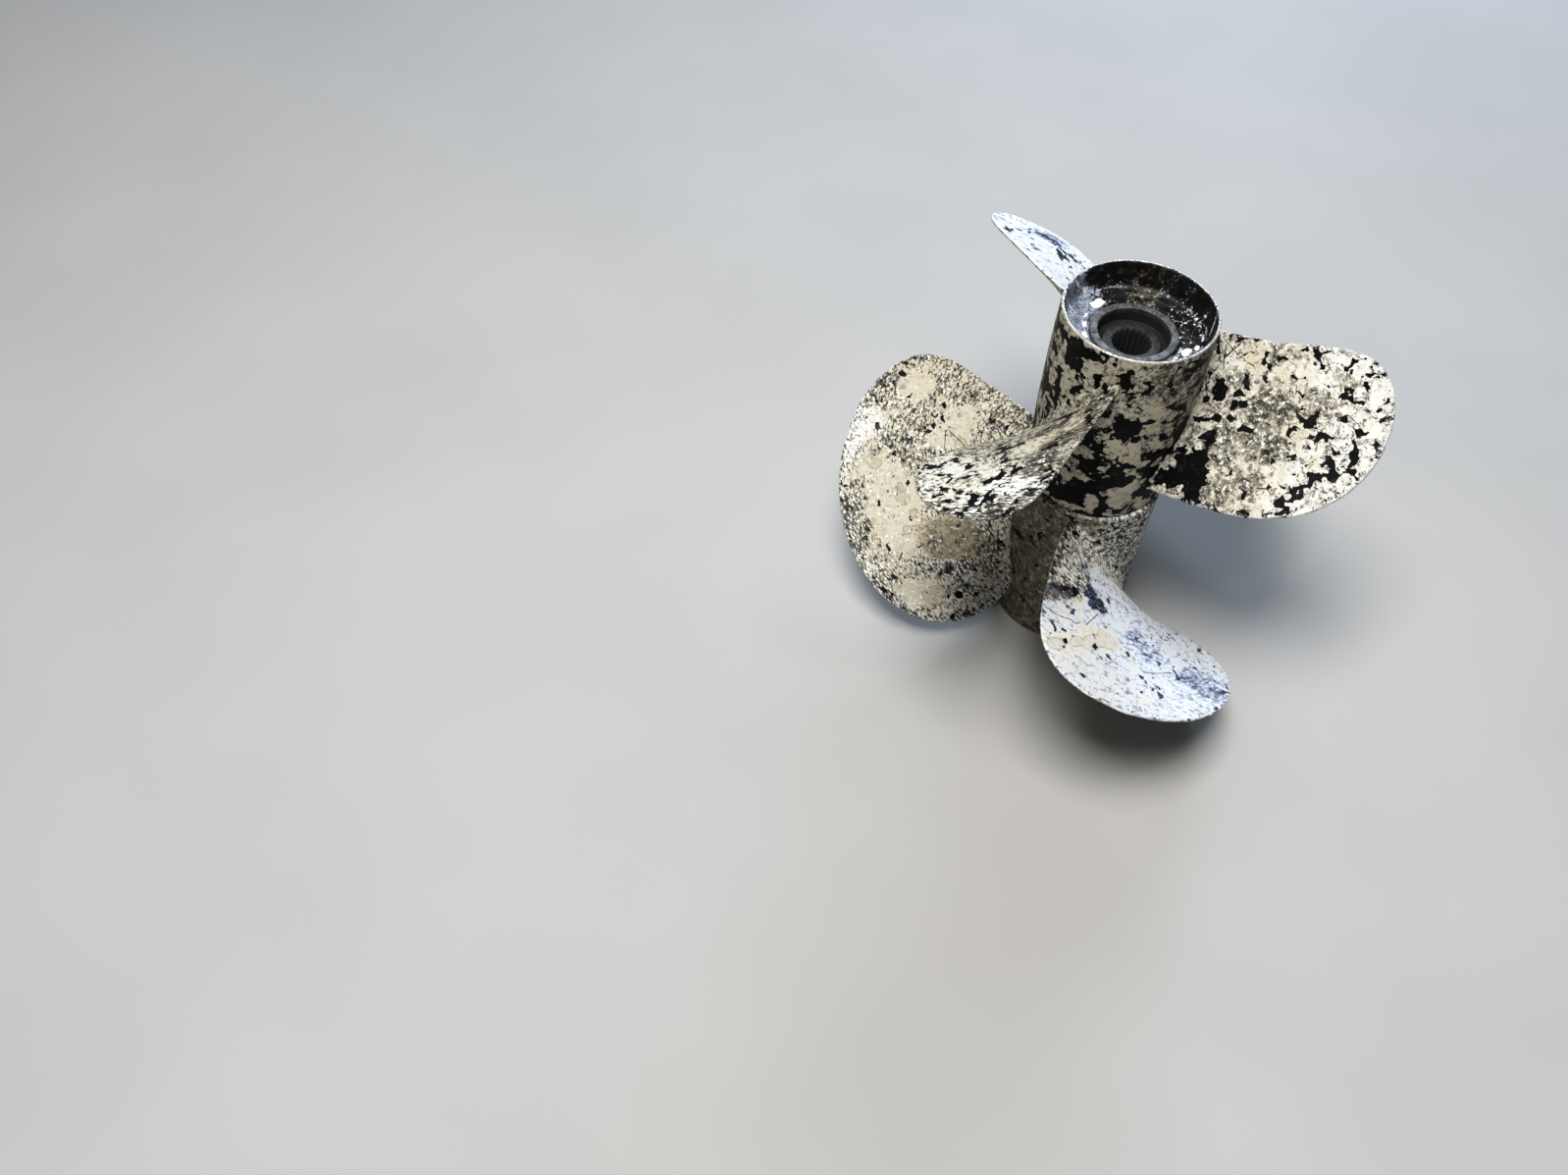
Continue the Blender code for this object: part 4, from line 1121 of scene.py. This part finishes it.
SCRATCHES = {
    "rear 0 up": [
        [(11, 110), (14, 102), (15, 94)], [(13, 113), (25, 108)], [(25, 118), (15, 102)],
        [(25, 112), (28, 108), (34, 109)], [(91, 121), (97, 129), (106, 129)],
        [(82, 105), (84, 92)], [(61, 47), (68, 52), (72, 50)], [(62, 119), (63, 112)]],
    "front 2 up": [
        [(83, -173), (79, -162)], [(68, -150), (64, -144)], [(47, -29), (30, -29)],
        [(42, -24), (22, -25)], [(65, -54), (49, -53)], [(68, -55), (61, -69)],
        [(49, -53), (38, -68)]],
    "front 0 up": [
        [(73, -47), (54, -55.5)], [(81, -15), (80.5, -21), (78.5, -28.5), (75.5, -35), (77, -39), (73, -42.5)],
        [(13, -6.5), (17, -16), (22, -26)],
        [(89, -136), (93, -114), (93, -105)]],
}
# The unseen faces carry the marks of a face that shows, shifted.
BORROWED = {
    "front 1 up": ("front 2 up", 0, 0), "rear 1 down": ("rear 2 up", -6, 8),
    "rear 0 down": ("rear 2 up", 0, -10), "rear 2 down": ("rear 0 up", -4, 6),
    "front 0 down": ("front 2 up", 4, -9), "front 1 down": ("front 0 up", -5, 6),
    "front 2 down": ("front 0 up", 6, -12),
}


def inside_of(a, b, mark):
    """Distance in mm into an ellipse, below 0 outside it, roughly."""
    first, second, long_, wide, turn = mark
    c, s = math.cos(math.radians(turn)), math.sin(math.radians(turn))
    da, db = a - first, b - second
    u, v = (c * da + s * db) / long_, (-s * da + c * db) / wide
    far = np.hypot(u, v) + 1e-6
    slope = np.sqrt((u / long_) ** 2 + (v / wide) ** 2) / far
    return np.clip((1 - far) / np.maximum(slope, 1e-3), -9, 9)


def deepest(a, b, on, marks, start=-9.0):
    best = np.full(len(a), start)
    for mark in marks:
        best = np.where(on, np.maximum(best, inside_of(a, b, mark)), best)
    return best


def scratched(a, b, on, lines, values):
    """Signed distances to scratches in two channels, and where they apply."""
    channels = [np.full(len(a), 4.0), np.full(len(a), 4.0)]
    mask = np.zeros(len(a))
    for k, line in enumerate(lines):
        channel = k % 2
        for (a0, b0), (a1, b1) in zip(line[:-1], line[1:]):
            long_ = math.hypot(a1 - a0, b1 - b0)
            ua, ub = (a1 - a0) / long_, (b1 - b0) / long_
            t = (a - a0) * ua + (b - b0) * ub
            d = -(a - a0) * ub + (b - b0) * ua
            near = on & (t > -0.4) & (t < long_ + 0.4) & (np.abs(d) < 4)
            closer = near & (np.abs(d) < np.abs(channels[channel]))
            channels[channel] = np.where(closer, d, channels[channel])
            mask = np.where(near & (np.abs(d) < 3), 1.0, mask)
    old = values["scratch"]
    return np.stack([
        np.where(np.abs(channels[0]) < 4, channels[0], old[:, 0]),
        np.where(np.abs(channels[1]) < 4, channels[1], old[:, 1]),
        np.maximum(mask, old[:, 2]),
    ], 1)


def wear(obj, blade, prefix, seed):
    """Where each kind of wear, the painted cool light and the painted shade show on a casting, as one number per
    vertex.
    """
    mesh = obj.data
    place = locate(mesh, blade)
    p = place["p"] * 1000.0
    n = len(p)
    on_hub = place["on_hub"]
    out, along = place["x"] * place["span"] * 1000.0, place["along"] * 1000.0
    share, u = np.clip(place["x"], 0, 1), place["u"]
    arc = ((place["angle"] - math.pi / 2) % (2 * math.pi) - 1.5 * math.pi) * 49.0
    near = edge_distance(place) * 1000.0
    z = p[:, 2]
    slow, slow2 = waves(p / 1000, 0.060, seed), waves(p / 1000, 0.045, seed + 1)
    v = {k: np.zeros(n) for k in ("lost", "crack", "worn", "speck", "tone", "dull", "slate", "rim", "glint")}
    v["hole"], v["ring"] = np.full(n, -9.0), np.full(n, -9.0)
    v["scratch"] = np.tile((4.0, 4.0, 0.0), (n, 1))

    def lay(on, **levels):
        for key, level in levels.items():
            v[key] = np.where(on, level, v[key])

    def soft(on, a, b, marks, spread=3.0):
        """1 inside a mark, fading to 0 over the spread outside."""
        return step(-spread, spread * 0.4, deepest(a, b, on, marks) + 1.5 * slow2) * on

    for k in range(BLADES):
        for word, sign in (("up", 1), ("down", -1)):
            on = ~on_hub & (place["number"] == k) & (place["side"] == sign)
            name = f"{prefix} {k} {word}"
            marks, lines = MARKS.get(name, {}), SCRATCHES.get(name, [])
            da = db = 0
            if not marks and name in BORROWED:
                source, da, db = BORROWED[name]
                marks = MARKS[source]
            a, b = out - da, along - db
            outer = step(70, 115, out)
            root = step(14, 2, out)
            if word == "down":
                lay(on, lost=0.42 + 0.12 * slow, crack=0.75 + 0.2 * slow2, worn=0.48 + 0.12 * slow,
                    speck=0.50, tone=-0.1 + 0.1 * slow, dull=0.32 + 0.10 * slow2, glint=0.2)
            elif name == "rear 0 up":
                right = step(60, 85, out)
                lay(on, lost=0.06 + 0.02 * outer + 0.20 * root + 0.05 * slow,
                    crack=0.72 + 0.16 * right + 0.16 * step(50, 30, out) + 0.10 * slow2,
                    worn=0.42 - 0.16 * right + 0.12 * step(30, 18, out) + 0.08 * slow,
                    speck=0.42 + 0.12 * root, tone=0.55 + 0.40 * right,
                    dull=0.22 * root, glint=0.20)
            elif name == "rear 1 up":
                # The blue tint on this face is painted cool light
                lay(on, lost=0.04, crack=0.30, worn=0.10, speck=0.06,
                    tone=0.95, slate=0.155 + 0.05 * slow2)
            elif name == "rear 2 up":
                white = step(58, 88, out - 0.12 * (along - 110))
                back, fore, tip = step(0.35, 0.75, u), step(0.42, 0.15, u), step(98, 118, out)
                lay(on, lost=0.14 + 0.30 * white * (1 - back) + 0.03 * tip, crack=0.62 - 0.06 * white,
                    worn=0.58 - 0.50 * white + 0.08 * slow + 0.26 * back + 0.16 * tip,
                    speck=0.84 - 0.12 * white * (1 - back) + 0.05 * back + 0.26 * tip,
                    tone=0.05 + 1.10 * white * (1 - 0.55 * fore),
                    dull=0.12 + 0.12 * back - 0.12 * white, slate=0.02 * tip, glint=0.35 * back)
            elif name == "front 0 up":
                shore = step(-33, -48, along) * step(9, 18, out)
                cold = shore * step(98, 66, out + 0.45 * (along + 60))
                inner = np.clip((1 - step(-30, -44, along)) * step(66, 48, out) + step(14, 7, out), 0, 1)
                # The blue tint on the outer part, stronger where the face turns to the window, is painted cool
                # light
                lay(on, lost=0.02, crack=0.27 + 0.18 * inner, worn=0.12 + 0.06 * slow + 0.48 * inner,
                    speck=0.22 + 0.10 * slow2 + 0.66 * inner + 0.22 * step(10, 3, near),
                    tone=1.15 - 1.1 * inner, slate=0.165 * (1 - inner) + 0.06 * cold + 0.02 * slow,
                    dull=0.08 * inner, glint=1.35 * inner)
            else:
                edge_ = step(16, 4, near) * step(-60, -110, along)
                # Towards the lower part the blade gets less darkening and more pale bits: painted light, where
                # more light falls
                low = step(-30, -80, along)
                lay(on, lost=0.03, crack=0.12, worn=0.30 + 0.06 * slow, tone=-0.02 + 0.1 * slow2 + 0.5 * edge_,
                    speck=0.88 + 0.08 * slow2, dull=(0.16 - 0.08 * low) * (1 - edge_),
                    glint=0.66 + 0.22 * low + 0.4 * edge_)
            dark = soft(on, a, b, marks.get("dark", []))
            clean = soft(on, a, b, marks.get("clean", []), 4.0)
            grey = soft(on, a, b, marks.get("grey", []), 4.0)
            tan = soft(on, a, b, marks.get("tan", []))
            olive = soft(on, a, b, marks.get("olive", []), 6.0)
            # Two of these kinds of mark add painted cool light and painted blue reflection
            slate = soft(on, a, b, marks.get("slate", []), 4.0)
            painted_blue_reflection = soft(on, a, b, marks.get("painted_blue_reflection", []), 2.0)
            brown = soft(on, a, b, marks.get("brown", []), 6.0)
            bright = soft(on, a, b, marks.get("bright", []), 3.0)
            white = soft(on, a, b, marks.get("white", []), 5.0)
            kept = soft(on, a, b, marks.get("keep", []), 2.0)
            fine = name == "front 2 up"
            v["speck"] += on * ((0.25 if fine else 0.34) * dark - 0.58 * clean + 0.08 * grey - 0.40 * kept
                                - 0.22 * tan + 0.55 * olive)
            v["worn"] += on * ((0.10 if fine else 0.22) * dark - 0.22 * clean + 0.42 * grey - 0.30 * kept
                               - 0.25 * tan + 0.24 * olive)
            v["lost"] += on * (0.03 * dark - 0.40 * kept - 0.10 * grey)
            v["crack"] -= on * (0.50 * grey + 0.35 * kept)
            v["tone"] -= on * ((0.32 if name == "front 0 up" else 0.75) * tan + 0.3 * olive)
            v["dull"] += on * (0.28 * olive + 0.10 * dark)
            # Painted cool light from its marks, less on tan and olive paint
            v["slate"] += on * ((0.50 if prefix == "rear" else 0.54) * slate - 0.22 * tan - 0.30 * olive)
            v["glint"] += on * (0.45 * grey - 0.35 * clean + 0.20 * dark + 0.40 * olive)
            if name == "front 0 up":
                v["speck"] += on * 0.40 * dark
                v["worn"] += on * 0.42 * dark
            # Painted blue reflection on the black, and a little painted cool light on the white marks
            v["slate"] += on * (1.25 * painted_blue_reflection + 0.06 * white)
            v["tone"] += on * (0.80 * white - 0.90 * brown)
            v["dull"] += on * (0.62 * brown - 0.10 * white)
            v["speck"] += on * (0.25 * bright - 0.30 * brown - 0.25 * white)
            v["worn"] += on * (0.25 * bright - 0.12 * brown - 0.20 * white)
            v["glint"] += on * (1.1 * bright - 0.40 * brown)
            hole = deepest(a, b, on, marks.get("hole", []))
            if name == "rear 0 up":
                hole = hole - 0.9 * step(55, 70, out)
            if name == "front 0 up":
                hole = hole - 0.5
            v["hole"] = np.where(on, np.minimum(hole, 0.3 - deepest(a, b, on, marks.get("keep", []))),
                                 v["hole"])
            v["ring"] = np.where(on, deepest(a, b, on, marks.get("ring", [])), v["ring"])
            v["scratch"] = scratched(out, along, on, lines, v)
            # The free edge: chipped to bare metal, and speckled just inside it
            strength = {"rear 0 up": 0.48, "front 2 up": 0.34, "front 0 up": 0.22,
                        "rear 2 up": 0.40, "rear 1 up": 0.35}.get(name, 0.30)
            band = 1.8
            if name == "rear 0 up":
                low = step(60, 85, along) * step(170, 145, along) * step(80, 95, out)
                strength, band = strength + 0.12 * low, 3.0 + 4.0 * low
            v["rim"] = np.where(on, strength * np.clip((band - near) / (band - 0.4), 0, 1) ** 0.6, v["rim"])
            v["speck"] += on * 0.25 * step(7, 2, near)

    a, b = arc, z
    if prefix == "rear":
        marks = MARKS["rear hub"]
        seen = on_hub & (arc > -165) & (arc < -25)
        lay(on_hub, lost=0.66 + 0.10 * slow, crack=0.95, worn=0.46 + 0.12 * slow, speck=0.40,
            tone=-0.08 + 0.1 * slow2, dull=0.40 + 0.1 * slow, glint=0.1)
        lay(seen, lost=0.50 + 0.08 * slow + 0.20 * step(215, 190, z) * step(-45, -80, arc)
            + 0.12 * step(-62, -48, arc) * step(240, 215, z)
            + 0.22 * step(-66, -54, arc) * step(205, 190, z)
            - 0.40 * step(-88, -74, arc) * step(215, 240, z)
            + 0.12 * step(-105, -125, arc) - 0.20 * step(-110, -100, arc) * step(240, 255, z),
            crack=0.85 + 0.2 * slow2,
            worn=0.40 + 0.25 * step(-85, -60, arc) * step(215, 250, z),
            speck=0.40 + 0.35 * step(-95, -75, arc) * step(180, 200, z))
        lip = 0.30 + 0.50 * step(47.7, 48.3, place["radius"] * 1000) + 0.20 * step(-40, -90, p[:, 0])
        v["rim"] = np.where(on_hub | (place["radius"] < 0.049),
                            lip * step(1.0, 0.3, 1000 * STACK_HEIGHT - z), v["rim"])
        v["rim"] = np.where(on_hub & (z < 142.6), 0.30, v["rim"])
    else:
        marks = {}
        # Painted shade and light on the lower hub: its left side darkened to olive as if in shade, its right side
        # lightened, with more pale bits
        left = step(-88, -112, arc) * step(-200, -150, arc)
        right = step(-88, -70, arc) * step(-10, -30, arc)
        lay(on_hub, lost=0.12 + 0.06 * slow + 0.08 * left, crack=0.30, worn=0.60 + 0.10 * slow + 0.10 * left,
            speck=0.78 + 0.10 * slow2 + 0.40 * right, tone=-0.10 + 0.7 * right,
            dull=0.56 + 0.60 * left - 0.54 * right + 0.08 * slow, glint=0.10 + 1.35 * right)
        v["rim"] = np.where(on_hub, 0.42 * step(2.0, 0.6, 1000 * SEAM_HEIGHT - z), v["rim"])
    tan = soft(on_hub, a, b, marks.get("tan", []))
    olive = soft(on_hub, a, b, marks.get("olive", []), 6.0)
    kept = soft(on_hub, a, b, marks.get("keep", []), 2.0)
    v["tone"] -= on_hub * 0.30 * tan
    v["dull"] += on_hub * (0.14 * olive - 0.12 * tan)
    v["speck"] += on_hub * (0.26 * olive - 0.15 * kept)
    v["worn"] += on_hub * (0.06 * olive - 0.28 * kept)
    v["lost"] -= on_hub * 0.10 * olive
    v["lost"] -= on_hub * 0.45 * kept
    v["crack"] -= on_hub * 0.45 * kept
    hole = deepest(a, b, on_hub, marks.get("hole", []))
    v["hole"] = np.where(on_hub, np.minimum(hole, 0.3 - deepest(a, b, on_hub, marks.get("keep", []))),
                         v["hole"])
    return place, v


def recess_wear(obj, values):
    """The same for the paint inside the rear hub, round its socket."""
    p = coords(obj.data) * 1000.0
    radius = np.hypot(p[:, 0], p[:, 1])
    angle = np.degrees(np.arctan2(p[:, 1], p[:, 0]))
    top = 1000 * STACK_HEIGHT
    in_recess = p[:, 2] > top - 22
    floor_ = in_recess & (p[:, 2] < top - 14) & (radius < 45)
    wall = in_recess & (radius > 42) & ~(floor_ & (radius < 43))
    arc = np.radians(angle) * 44.0
    x, y, z = p[:, 0], p[:, 1], p[:, 2]

    def polar(r, degrees, long_, wide, turn):
        c = math.radians(degrees)
        return (r * math.cos(c), r * math.sin(c), long_, wide, turn)

    flat = [polar(34, 124, 5.5, 3.6, 40), polar(38.5, -95, 7, 1.4, -5), polar(39, -120, 5, 1.6, -30),
            polar(37.5, -150, 4.5, 2.0, -60), polar(31.5, 165, 3.0, 1.6, 75), polar(32, -176, 3.0, 2.2, 80), polar(35, -33, 5, 2.6, 60),
            polar(33, -52, 4.5, 2.0, 40), polar(40, -22, 3, 1.2, 70), polar(32.5, 12, 2.2, 1.0, 60),
            polar(34, -160, 5, 1.6, -60), polar(36, -128, 6, 1.2, -40), polar(33, 150, 2.5, 1.5, 60)]
    upright = [(math.radians(152) * 44, 271, 9, 1.0, 62), (math.radians(128) * 44, 272.5, 3, 1.6, 35),
               (math.radians(139) * 44, 281, 5, 0.8, 65), (math.radians(8) * 44, 274, 1.6, 1.2, 0),
               (math.radians(-12) * 44, 278, 5, 0.7, 55)]
    white = np.full(len(p), -9.0)
    white = np.where(floor_, deepest(x, y, floor_, flat), white)
    white = np.where(wall, np.maximum(white, deepest(arc, z, wall, upright)), white)
    left = step(105, 135, np.abs(angle))
    values["white"] = white
    front_ = step(20, 60, -angle) * (angle < 0)
    values["haze"] = (floor_ * (0.98 * np.maximum(left, 0.95 * front_ * (radius < 40)) + 0.12)
                      + wall * 0.72 * step(118, 132, angle) * step(178, 160, angle))
    values["sparks"] = (floor_ * (0.75 * step(60, 25, np.abs(angle + 8)) + 0.35 * step(30, 15, np.abs(angle - 78)))
                        + wall * 0.12)
    values["rust"] = in_recess * step(22, 6, np.abs(angle - 70)) * 0.42 + floor_ * 0.10 * (angle > 0)
    corner = np.abs(radius - 42.8) + np.abs(z - (top - 17.0))
    values["haze"] += in_recess * 0.35 * step(1.6, 0.5, corner)
    for key in ("white", "haze", "sparks", "rust"):
        values[key] = np.where(in_recess, values[key], {"white": -9.0}.get(key, 0.05))


def finish(obj, blade, place, values, paint, inner_paint):
    mesh = obj.data
    for name, value in values.items():
        if name == "scratch":
            vector_attribute(mesh, name, value)
        else:
            attribute(mesh, name, value)

    # Surface coordinates for each corner of each face, all in the face's own terms
    faces = len(mesh.polygons)
    start, total = np.empty(faces, np.int32), np.empty(faces, np.int32)
    mesh.polygons.foreach_get("loop_start", start)
    mesh.polygons.foreach_get("loop_total", total)
    vertex = np.empty(len(mesh.loops), np.int32)
    mesh.loops.foreach_get("vertex_index", vertex)
    owner = np.repeat(np.arange(faces), total)
    sheet = np.where(place["on_hub"], -1, place["number"] * 2 + (place["side"] > 0))
    low, high = np.minimum.reduceat(sheet[vertex], start), np.maximum.reduceat(sheet[vertex], start)
    whole = ((low == high) & (low >= 0))[owner]
    p = coords(mesh) * 1000.0
    angle = place["angle"][vertex]
    first = place["angle"][vertex[start]][owner]
    angle = first + (angle - first + math.pi) % (2 * math.pi) - math.pi
    lean = math.radians(58.7) * blade["hand"]
    arc, z = angle * 49.0, p[vertex, 2]
    hub_u, hub_v = arc * math.cos(lean) + z * math.sin(lean), -arc * math.sin(lean) + z * math.cos(lean)
    blade_u = place["along"][vertex] * 1000.0
    blade_v = place["x"][vertex] * place["span"] * 1000.0
    stretch = np.full(7, 1.5)
    stretch[[1, 3, 5]] = (1.2, 3.0, 2.2) if obj is rear else (2.3, 1.25, 1.25)
    stretch = stretch[np.where(whole, low[owner], 6)]
    flow = np.stack([
        np.where(whole, blade_u, hub_u) / stretch, np.where(whole, blade_v, hub_v),
        np.where(whole, 40.0 + 30.0 * low[owner], 0.0),
    ], 1)
    made = mesh.attributes.new("flow", "FLOAT_VECTOR", "CORNER")
    made.data.foreach_set("vector", flow.astype(np.float32).ravel())

    # Faces inside the hub get the inner paint.
    radius = np.hypot(p[:, 0], p[:, 1])
    lip = 1000 * hub_radius(blade["hub"], p[:, 2] / 1000) - 1.5
    inside = (radius < lip).astype(np.int32)
    index = np.minimum.reduceat(inside[vertex], start).astype(np.int32)
    mesh.materials.clear()
    mesh.materials.append(paint)
    mesh.materials.append(inner_paint)
    mesh.polygons.foreach_set("material_index", index)


place, values = wear(rear, REAR_BLADE, "rear", 3)
recess_wear(rear, values)
finish(rear, REAR_BLADE, place, values, weathered("rear_antifouling", 1), recess_paint("rear_hub_inside", 1))
place, values = wear(front, FRONT_BLADE, "front", 7)
for key, value in (("white", -9.0), ("haze", 0.05), ("sparks", 0.05), ("rust", 0.1)):
    values[key] = np.full(len(front.data.vertices), value)
finish(front, FRONT_BLADE, place, values, weathered("front_antifouling", 2), recess_paint("front_hub_inside", 2))

BORES = {rear_shell.name: 0.0236, front_shell.name: 0.0294, rear_sleeve.name: 0.0133,
         front_sleeve.name: 0.0202}
shell_metal = dull_metal("bush_metal", (0.125, 0.125, 0.135), (0.022, 0.021, 0.019), 0.42, 0.52, 0.15, 1)
sleeve_metal = dull_metal("sleeve_metal", (0.036, 0.037, 0.041), (0.006, 0.006, 0.006), 0.5, 0.52, 0.15, 2)
rubber = old_rubber("bush_rubber", 1)
for obj, material in (
    (rear_shell, shell_metal), (front_shell, shell_metal), (rear_rubber, rubber),
    (front_rubber, rubber), (rear_sleeve, sleeve_metal), (front_sleeve, sleeve_metal),
):
    obj.data.materials.clear()
    obj.data.materials.append(material)
    at = coords(obj.data)
    around, bore = np.hypot(at[:, 0], at[:, 1]), BORES.get(obj.name, 0.0)
    down = np.minimum(at[:, 2].max() - at[:, 2], at[:, 2] - at[:, 2].min())
    # The bore's inside, away from its ends, is marked for painted shade
    attribute(obj.data, "deep", step(0.0, 0.0016, down) * (around < bore))

# ------------------------------------------------------------ onto the frame
for obj, body, node, slot in (
    (rear, "rear_propeller", "rear_propeller_casting", "rear_paint"),
    (rear_shell, "rear_propeller", "rear_bush_shell", "rear_bush_metal"),
    (rear_rubber, "rear_propeller", "rear_rubber_bush", "rear_rubber"),
    (rear_sleeve, "rear_propeller", "rear_splined_sleeve", "rear_sleeve"),
    (front, "front_propeller", "front_propeller_casting", "front_paint"),
    (front_shell, "front_propeller", "front_bush_shell", "front_bush_metal"),
    (front_rubber, "front_propeller", "front_rubber_bush", "front_rubber"),
    (front_sleeve, "front_propeller", "front_splined_sleeve", "front_sleeve"),
):
    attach(obj, body)
    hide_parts(node)


# ------------------------------------------------------------ floor and light
def floor_material():
    n = Nodes("pale_floor")
    cloud = n.noise(n.place(), 220.0, 2.0, 0.5)
    n.set("Base Color", n.mix(n.ramp(cloud, 0.3, 0.7), (0.41, 0.405, 0.40), (0.43, 0.425, 0.42)))
    n.shader.inputs["Roughness"].default_value = 0.7
    n.shader.inputs["Specular IOR Level"].default_value = 0.2
    return n.material


floor = link("floor", new_mesh("floor", [(-6, -6, 0), (6, -6, 0), (6, 6, 0), (-6, 6, 0)], [(0, 1, 2, 3)]))
floor.location.z = -0.0004
floor.data.materials.append(floor_material())


def soft_light(name, at, towards, size, power, colour):
    data = bpy.data.lights.new(name, "AREA")
    data.shape = "RECTANGLE"
    data.size, data.size_y = size
    data.energy = power
    data.color = colour
    light = bpy.data.objects.new(name, data)
    light.location = at
    light.rotation_euler = (Vector(towards) - Vector(at)).to_track_quat("-Z", "Y").to_euler()
    bpy.context.scene.collection.objects.link(light)
    return light


soft_light("overhead", (-0.38, -0.40, 2.10), (0, 0, 0.15), (0.9, 0.9), 61.0, (1.0, 0.98, 0.94))
soft_light("window", (0.7, 2.0, 1.35), (0, 0, 0.15), (1.2, 1.0), 42.0, (0.66, 0.81, 1.0))

world = bpy.data.worlds.new("world")
world.use_nodes = True
world.node_tree.nodes["Background"].inputs[0].default_value = (0.85, 0.88, 0.95, 1)
world.node_tree.nodes["Background"].inputs[1].default_value = 0.09
bpy.context.scene.world = world
bpy.context.scene.view_settings.view_transform = "Standard"
bpy.context.scene.view_settings.look = "None"
bpy.context.scene.view_settings.exposure = 0.0
